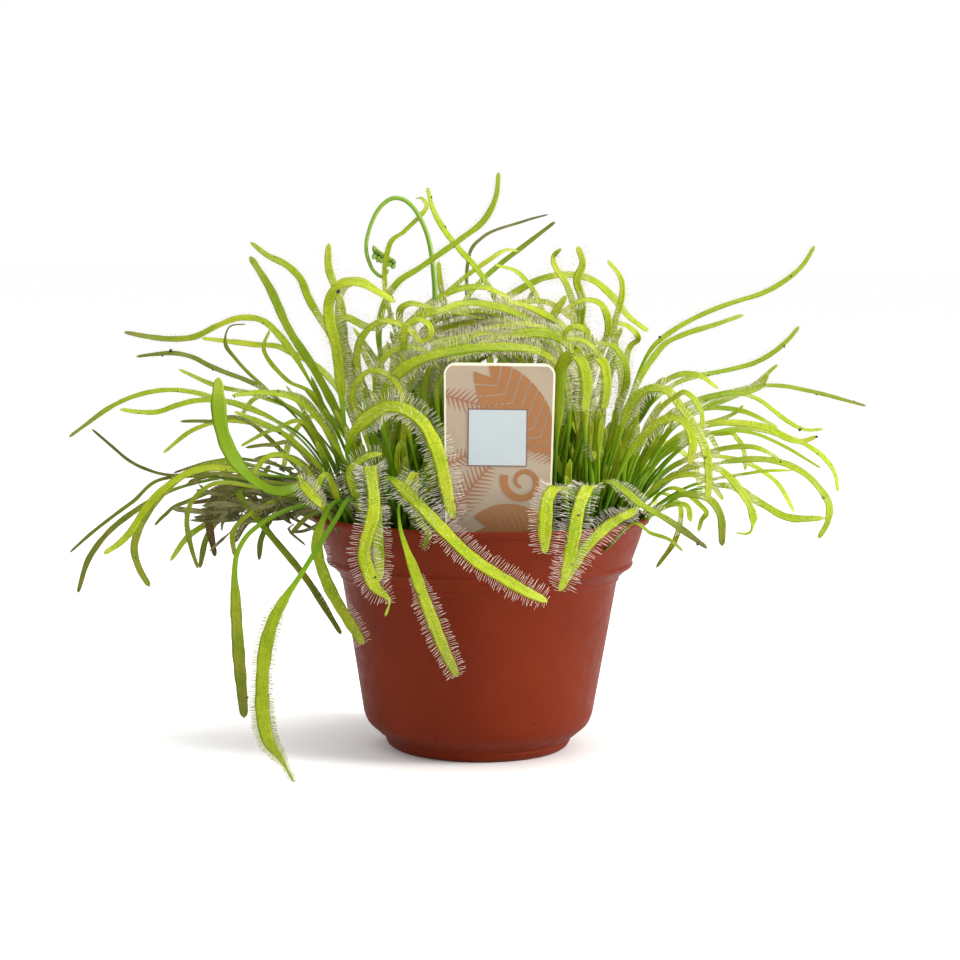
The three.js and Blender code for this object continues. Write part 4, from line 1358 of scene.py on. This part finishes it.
# %% Over the top
TOP_LEAVES = [
    (3.0, 0.4, FRESH, LONG, [(-32, -1), (-42, 3, 116), (-48, 4, 140), (-50, 4, 156), (-54, 4, 168),
                             (-54, 4, 177)]),
    (3.2, 0.4, FRESH, LONG, [(-30, 2), (-44, 0, 124), (-50, 0, 146), (-48, 0, 151), (-41, 0, 148),
                             (-36, 0, 148),
                             (-31, 0, 153)]),
    (1.8, 0.5, FRESH, SPARSE, [(-12, 6), (-26, 3, 130), (-34, 0, 160), (-33, 0, 176), (-28, 0, 181),
                               (-23, 0, 186),
                               (-20, 0, 190), (-22, 0, 193), (-24, 0, 193)]),
    (2.4, 0.45, FRESH, SOFT, [(-6, 10), (-11, 12, 120), (-13, 14, 150), (-15, 14, 162), (-16, 14, 171)]),
    (2.6, 0.45, FRESH, LONG, [(-10, 2), (-22, 1, 125), (-29, 0, 150), (-26, 0, 156), (-19, 0, 155),
                              (-15, 0, 155)]),
    (3.0, 0.4, FRESH, LONG, [(20, 2), (24, 2, 130), (22, 1, 150), (14, 1, 155), (3, 1, 152)]),
    (2.6, 0.4, FRESH, SOFT, [(26, 12), (32, 20, 130), (33, 24, 152), (30, 24, 163), (26, 24, 169),
                             (25, 24, 173),
                             (28, 24, 176)]),
    (2.0, 0.45, FRESH, SPARSE, [(-8, 18), (-16, 28, 132), (-18, 33, 152), (-9, 34, 163), (3, 34, 172),
                                (8, 34, 175), (13, 34, 175)]),
    (1.4, 0.5, (0.6, 0.8), None, [(0, 34), (-4, 60, 130), (-6, 72, 168), (0, 76, 180), (15, 80, 186),
                                  (25, 80, 189)]),
    (1.9, 0.4, FRESH, SPARSE, [(10, 10), (12, 6, 135), (17, 0, 160), (21, 0, 153)]),
    (2.4, 0.4, FRESH, SOFT, [(36, 16), (50, 36, 116), (54, 48, 138), (58, 50, 143), (53, 50, 148),
                             (45, 50, 149)]),
    (3.2, 0.35, FRESH, LONG, [(-20, -4), (-27, -6, 118), (-24, -8, 140), (-14, -9, 147), (-2, -9, 149),
                              (10, -9, 147), (20, -10, 142)]),
    (3.0, 0.35, FRESH, LONG, [(16, -4), (22, -8, 128), (18, -10, 148), (8, -12, 155), (-6, -12, 157),
                              (-16, -12, 154)]),
    (2.8, 0.35, FRESH, LONG, [(30, 0), (34, -6, 124), (30, -10, 146), (20, -12, 154), (8, -13, 158)]),
    (2.8, 0.35, FRESH, LONG, [(-18, 6), (-28, 4, 128), (-24, 2, 150), (-12, 2, 160), (0, 2, 162),
                              (10, 2, 158)]),
    (2.6, 0.4, FRESH, LONG, [(-30, -8), (-40, -12, 120), (-43, -14, 140), (-36, -16, 150), (-27, -16, 149),
                             (-20, -16, 143)]),
    (2.6, 0.4, FRESH, LONG, [(28, 4), (38, 4, 128), (44, 3, 146), (42, 2, 156), (35, 2, 158), (28, 2, 154)]),
    (2.2, 0.4, FRESH, SOFT, [(24, 8), (38, 14, 130), (48, 18, 152), (50, 18, 164), (45, 18, 172)]),
    (2.0, 0.4, FRESH, SOFT, [(-26, 14), (-42, 24, 124), (-52, 28, 148), (-50, 28, 160), (-42, 28, 164)]),
    (2.0, 0.45, FRESH, SPARSE, [(16, 18), (22, 30, 130), (22, 34, 152), (14, 36, 166), (4, 36, 170)]),
    (2.6, 0.35, FRESH, FUZZY, [(-22, -10), (-26, -20, 122), (-20, -26, 138), (-8, -28, 144), (6, -29, 146),
                              (18, -29, 143), (26, -29, 138)]),
    (2.4, 0.35, FRESH, FUZZY, [(26, -14), (30, -22, 122), (24, -28, 138), (12, -30, 142), (-2, -31, 141),
                              (-12, -31, 138)]),
    (2.4, 0.35, FRESH, FUZZY, [(-16, -8), (-20, -14, 120), (-16, -18, 138), (-4, -19, 144), (10, -19, 150),
                              (22, -19, 149)]),
    (2.4, 0.35, FRESH, FUZZY, [(20, -10), (26, -16, 124), (20, -18, 142), (8, -18, 151), (-6, -18, 150),
                              (-18, -18, 146), (-25, -18, 139)]),
    (2.3, 0.35, FRESH, FUZZY, [(-10, -6), (-16, -8, 124), (-10, -10, 144), (2, -10, 152), (14, -10, 153),
                              (24, -10, 149), (30, -10, 142)]),
    (2.3, 0.35, FRESH, FUZZY, [(10, -4), (16, -4, 126), (8, -4, 144), (-6, -4, 149), (-18, -4, 147),
                              (-28, -4, 140)]),
    (2.3, 0.35, FRESH, FUZZY, [(-26, -12), (-34, -22, 116), (-36, -28, 132), (-30, -32, 141),
                               (-20, -34, 141),
                              (-14, -34, 134)]),
    (2.3, 0.35, FRESH, FUZZY, [(-30, -10), (-40, -20, 112), (-44, -26, 126), (-38, -30, 134),
                               (-30, -32, 132),
                              (-26, -32, 124)]),
    (2.3, 0.35, FRESH, FUZZY, [(34, -10), (40, -20, 118), (42, -26, 134), (36, -30, 144), (28, -30, 146)]),
    (2.3, 0.35, FRESH, FUZZY, [(36, -8), (46, -14, 116), (50, -18, 132), (46, -22, 142), (38, -24, 144)]),
]
top_leaves = grow_group("thin_leaves_top", TOP_LEAVES, 22, sway=14)
print("top leaves", len(TOP_LEAVES), "faces", len(top_leaves.data.polygons))

# %% Right of the clump
RIGHT_LEAVES = [
    (2.4, 0.4, FRESH, SPARSE, [(40, 16), (54, 44, 118), (66, 58, 138), (75, 60, 144), (87, 60, 148),
                               (98, 60, 152)]),
    (1.4, 0.5, FRESH, None, [(48, 4), (72, 3, 92), (95, 0, 98), (105, 0, 99), (110, 0, 99)]),
    (3.2, 0.4, FRESH, SOFT, [(51, -1), (70, -3, 90), (86, -5, 94), (98, -6, 88), (108, -6, 83),
                             (121, -6, 83)]),
    (2.2, 0.4, FRESH, SOFT, [(44, -16), (56, -36, 116), (65, -46, 128), (69, -48, 128), (72, -48, 124),
                             (73, -48, 121), (73, -48, 117)]),
    (3.2, 0.4, FRESH, LONG, [(38, -24), (48, -36, 104), (58, -44, 118), (66, -47, 120), (70, -48, 113),
                             (69, -48, 105)]),
    (2.2, 0.4, FRESH, SPARSE, [(46, 2), (64, 1, 104), (78, 0, 112), (81, 0, 110), (83, 0, 106),
                               (83, 0, 103)]),
    (2.0, 0.4, FRESH, SPARSE, [(47, 6), (70, 3, 106), (86, 0, 112), (90, 0, 110), (92, 0, 107), (93, 0, 103),
                               (93, 0, 99)]),
    (1.5, 0.4, (0.3, 0.4), None, [(42, -36), (50, -56, 86), (56, -56, 83), (62, -56, 81), (67, -56, 77)]),
    (2.0, 0.4, (0.2, 0.3), SPARSE, [(45, 10), (62, 20, 88), (72, 22, 84), (71, 22, 72), (64, 22, 61)]),
    (2.2, 0.4, FRESH, SPARSE, [(50, -12), (62, -13, 86), (71, -14, 88), (73, -14, 82)]),
    (2.0, 0.4, FRESH, SPARSE, [(51, 2), (66, 1, 92), (79, 0, 85), (78, 0, 81), (77, 0, 77)]),
    (3.0, 0.4, (0.2, 0.5), SPARSE, [(49, -10), (64, -18, 90), (76, -23, 92), (82, -24, 86), (83, -24, 75)]),
    (1.8, 0.4, FRESH, None, [(44, 4), (66, 2, 108), (87, 0, 118), (92, 0, 122)]),
    (2.4, 0.4, FRESH, LONG, [(32, -14), (38, -18, 122), (38, -20, 118), (38, -22, 110), (39, -22, 104)]),
    (2.4, 0.35, FRESH, SOFT, [(42, 8), (54, 10, 118), (66, 10, 130), (76, 10, 132), (84, 10, 127)]),
    (2.2, 0.35, FRESH, SPARSE, [(44, 12), (60, 22, 110), (78, 28, 118), (94, 30, 118), (108, 30, 112)]),
    (2.2, 0.35, FRESH, SPARSE, [(48, -4), (64, -7, 98), (80, -8, 106), (94, -9, 108), (104, -9, 104)]),
    (2.4, 0.35, FRESH, SOFT, [(46, -18), (58, -26, 94), (68, -32, 100), (76, -34, 99), (82, -35, 92)]),
    (2.0, 0.4, FRESH, SPARSE, [(42, 20), (60, 40, 108), (80, 48, 116), (98, 50, 124), (110, 50, 134)]),
    (2.0, 0.4, FRESH, SPARSE, [(46, 14), (70, 30, 98), (92, 36, 100), (108, 38, 92), (116, 38, 80)]),
]
right_leaves = grow_group("thin_leaves_right", RIGHT_LEAVES, 23)
print("right leaves", len(RIGHT_LEAVES), "faces", len(right_leaves.data.polygons))

# %% In front, and behind
FRONT_LEAVES = [
    (2.8, 0.25, FRESH, LONG, [(-46, -28), (-54, -36, 90), (-60, -40, 97), (-57, -42, 93), (-53, -42, 89)]),
    (2.6, 0.25, FRESH, LONG, [(-36, -30), (-44, -38, 98), (-42, -40, 103), (-38, -41, 106),
                              (-33, -41, 107)]),
    (2.4, 0.25, FRESH, LONG, [(-22, -34), (-22, -41, 92), (-22, -43, 101), (-25, -45, 96), (-25, -45, 91)]),
    (2.2, 0.3, OLD, SOFT, [(-24, -36), (-22, -48, 90), (-20, -56, 86), (-17, -58, 82), (-19, -58, 77)]),
    (2.0, 0.3, (0.5, 0.8), None, [(-44, -24), (-52, -32, 86), (-58, -36, 85), (-64, -38, 79)]),
]
BACK_LEAVES = [
    (3.0, 0.4, FRESH, SOFT, [(-36, 30), (-50, 50, 104), (-62, 64, 112), (-72, 72, 104), (-76, 76, 90)]),
    (3.0, 0.4, FRESH, SOFT, [(-6, 40), (-8, 60, 100), (-10, 74, 98), (-11, 80, 84), (-11, 82, 66)]),
    (3.0, 0.4, FRESH, SOFT, [(18, 38), (30, 58, 104), (40, 74, 110), (46, 84, 100), (48, 88, 84)]),
    (2.6, 0.4, FRESH, SOFT, [(38, 26), (54, 44, 100), (68, 56, 104), (80, 62, 96), (84, 64, 84)]),
    (2.4, 0.4, FRESH, SOFT, [(-28, 32), (-36, 52, 112), (-40, 66, 128), (-36, 72, 138), (-28, 74, 138)]),
    (2.4, 0.4, FRESH, SOFT, [(6, 34), (10, 50, 120), (12, 60, 140), (6, 66, 150), (-4, 68, 150)]),
    (2.4, 0.4, FRESH, SOFT, [(24, 32), (34, 48, 120), (40, 56, 138), (36, 60, 150), (26, 62, 154)]),
    (2.2, 0.4, OLD, SPARSE, [(-44, 24), (-60, 36, 92), (-74, 44, 88), (-84, 48, 76)]),
]
grow_group("short_leaves_front", FRONT_LEAVES, 24)
grow_group("thin_leaves_back", BACK_LEAVES, 25)
print("front and back leaves", len(FRONT_LEAVES) + len(BACK_LEAVES))

# %% [markdown]
# ## The crowns
# Low in the pot the leaf stalks stand so close that they hide each other: the clump grows from two crowns,
# a wide one on the left and a dense one on the right, with more stalks between them and inside. Their
# stalks repeat one rule with small seeded changes, so a loop makes them: each starts in the peat near its
# crown's middle, leans out the further it stands from it, and ends where the named leaves take over.

# %% Bundles of stalks


def build_crown(name, seed, count, middle, spread, height, fan, share, widths, tones):
    rng = np.random.default_rng(seed)
    growth = Growth()
    for i in range(count):
        angle = rng.uniform(0, 2 * math.pi)
        reach = math.sqrt(rng.uniform(0, 1))
        root = np.array(middle) + np.array([math.cos(angle) * spread[0], math.sin(angle) * spread[1]]) * reach
        root *= min(1.0, 50 / np.linalg.norm(root))
        top = rng.uniform(*height)
        outward = np.array([math.cos(angle), math.sin(angle)])
        lean = (root - np.array(middle)) * fan + outward * rng.uniform(2, 9)
        lean = (lean + rng.normal(size=2) * 7) * (top - 75) / 45
        lean[1] = max(lean[1], -0.7 * (root[1] + 34))
        sag = rng.uniform(-5, 5, 2)
        route = [tuple(root), (*(root + lean * 0.3 + sag * 0.3), 75 + (top - 75) * 0.4),
                 (*(root + lean * 0.68 + sag), 75 + (top - 75) * 0.78), (*(root + lean + sag), top)]
        row = (0.01 + 0.8 * i / count, 0.01 + 0.8 * (i + 0.9) / count)
        end = rng.uniform(0.4, 0.7)
        hairs = SOFT if rng.uniform() < share else None
        # foot=26 paints shade on the lowest 26 mm of every crown stalk
        grow_route(growth, rng, route, rng.uniform(*widths), end, FRESH, hairs, row,
                   stalk=rng.uniform(1.0, 1.8), tone=rng.uniform(*tones), step=1.8, foot=26)
    return growth.finish(name, [skin, hair], slot="leaf")


left_crown = build_crown("crown_left", 31, 90, (-32, 0), (15, 19), (92, 132), 0.5, 0.12, (1.4, 3.0), (0, 0.7))
right_crown = build_crown("crown_right", 32, 100, (40, 2), (12, 18), (90, 126), 0.8, 0.06,
                          (1.4, 3.0), (0, 0.6))
# the middle and inner crowns stand deeper in the clump; their higher tones make them darker green, partly
# random tone and partly painted shade
middle_crown = build_crown("crown_middle", 33, 60, (4, 4), (30, 16), (110, 150), 0.25, 0.2,
                           (1.6, 2.8), (0.3, 1))
inner_crown = build_crown("crown_inner", 34, 90, (4, 20), (36, 12), (104, 148), 0.1, 0, (2.6, 4.0), (0.6, 1))
crowns = (left_crown, right_crown, middle_crown, inner_crown)
print("crown faces", sum(len(p.data.polygons) for p in crowns))

# %% [markdown]
# ## The tangle over the label
# Above the label the blades are so hairy, and cross so often, that they read as one fuzzy mass. A loop lays
# arches of hairy blade there, seeded, each up from the crown and over to one side, and two young leaves
# that are still coiled stand in front of them.

# %% Arches and coils


def build_tangle():
    rng = np.random.default_rng(35)
    growth = Growth()
    count = 20
    for i in range(count):
        way = rng.choice([-1, 1])
        x, y = -way * rng.uniform(2, 30), rng.uniform(-24, 6)
        top = rng.uniform(139, 157) - 0.12 * abs(x)
        span = rng.uniform(18, 40) * way
        turn = rng.uniform(-12, 16)
        route = [(x * 0.7, y * 0.4 + 4), (x - way * 2, y, 120), (x - way, y - 2, top - 7),
                 (x + span * 0.3, y - 2 + turn * 0.3, top),
                 (x + span * 0.7, y - 2 + turn * 0.7, top - rng.uniform(-3, 3)),
                 (x + span, y - 2 + turn, top - rng.uniform(2, 12))]
        row = (0.01 + 0.8 * i / count, 0.01 + 0.8 * (i + 0.9) / count)
        grow_route(growth, rng, route, rng.uniform(1.6, 2.6), 0.45, (0.0, rng.uniform(0.05, 0.45)),
                   FUZZY, row, tone=rng.uniform(0, 0.6))
    for i, (x, y, z, size, way) in enumerate([(-21, -30, 147, 5.4, 1), (31, -28, 146, 4.6, -1)]):
        turn = np.linspace(0, 2.2 * np.pi, 12)
        radius = size * (1 - 0.75 * turn / turn[-1])
        coil = np.stack([x - way * radius * np.cos(turn), y + 0 * turn, z + radius * np.sin(turn)], 1)
        route = [(x * 0.8, y * 0.3), (x - way * size, y * 0.7, z - 26), *[tuple(p) for p in coil]]
        grow_route(growth, rng, route, 2.2, 0.3, FRESH, (3.0, 3.0, 0.5), (0.81 + 0.01 * i, 0.82 + 0.01 * i))
    return growth.finish("tangle_over_label", [skin, hair], slot="leaf")


tangle = build_tangle()
print("tangle faces", len(tangle.data.polygons))

# %% [markdown]
# ## Litter and gnats
# Dead leaves dry to brown, curled threads round the foot of the clump, most of them at the left of the rim.
# And a sundew is never without its catch: small black gnats stuck to the blades. Both are small
# joined meshes, scattered by a seeded draw.

# %% Dry threads


def build_litter():
    rng = np.random.default_rng(41)
    growth = Growth()
    count = 240
    for i in range(count):
        if i < 180:
            start = np.array([rng.uniform(-88, -44), rng.uniform(-26, 16), 0])
            start[2] = 90 - 0.12 * abs(start[0] + 60) + rng.normal() * 4
            drift = np.array([rng.uniform(-20, 6), rng.uniform(-6, 6), rng.uniform(-9, 5)])
        else:
            angle, radius = rng.uniform(0, 2 * math.pi), rng.uniform(8, 50)
            start = np.array([radius * math.cos(angle), radius * math.sin(angle), 76.5])
            drift = np.array([rng.uniform(-12, 12), rng.uniform(-12, 12), rng.uniform(0, 2)])
            over = np.hypot(*(start + drift)[:2])
            drift[:2] *= 1 if over < 50 else 0.2
        middle = start + drift * 0.5 + rng.uniform(-4, 4, 3) * [1, 1, 0.7]
        if i >= 180:
            middle[2] = max(middle[2], 76.2)
        route = [tuple(start), tuple(middle), tuple(start + drift)]
        row = (0.01 + 0.98 * i / count, 0.01 + 0.98 * (i + 0.9) / count)
        grow_route(growth, rng, route, rng.uniform(0.5, 2.4), 0.2, DRY, None, row, stalk=0.5, step=1.5)
    return growth.finish("dry_litter", [litter], slot="leaf")


dry = build_litter()
print("litter faces", len(dry.data.polygons))

# %% Gnats on the blades


def build_gnats():
    rng = np.random.default_rng(43)
    material, tree, shader = new_material("gnat_black")
    tone = use_group(tree, mottle, Scale=800.0, Contrast=1.0)
    colour = blend(tree, tone.outputs["Amount"], paint("0e0c08"), paint("2e2618"))
    tree.links.new(colour, shader.inputs["Base Color"])
    shader.inputs["Roughness"].default_value = 0.5
    centres = []
    for piece in leaf_pieces:
        mesh = piece.data
        blade = np.zeros(len(mesh.vertices), np.float32)
        hairs = np.zeros(len(mesh.vertices), np.float32)
        mesh.attributes["blade"].data.foreach_get("value", blade)
        mesh.attributes["hair"].data.foreach_get("value", hairs)
        place = np.zeros(len(mesh.vertices) * 3, np.float32)
        mesh.vertices.foreach_get("co", place)
        tube = np.nonzero((blade > 0.7) & (blade < 1.01) & (hairs == 0))[0]
        if len(tube):
            centres.append(place.reshape(-1, 3)[rng.choice(tube, rng.integers(2, 7))])
    centres = np.concatenate(centres) / MM
    sizes = rng.gamma(2.5, 0.1, len(centres)) + 0.1
    points, faces = lumps(rng, centres, np.minimum(sizes, 0.75), 0.4)
    return make_piece("trapped_gnats", points * MM, [faces], [0], [material], slot="leaf")


gnats = build_gnats()
print("gnat faces", len(gnats.data.polygons))
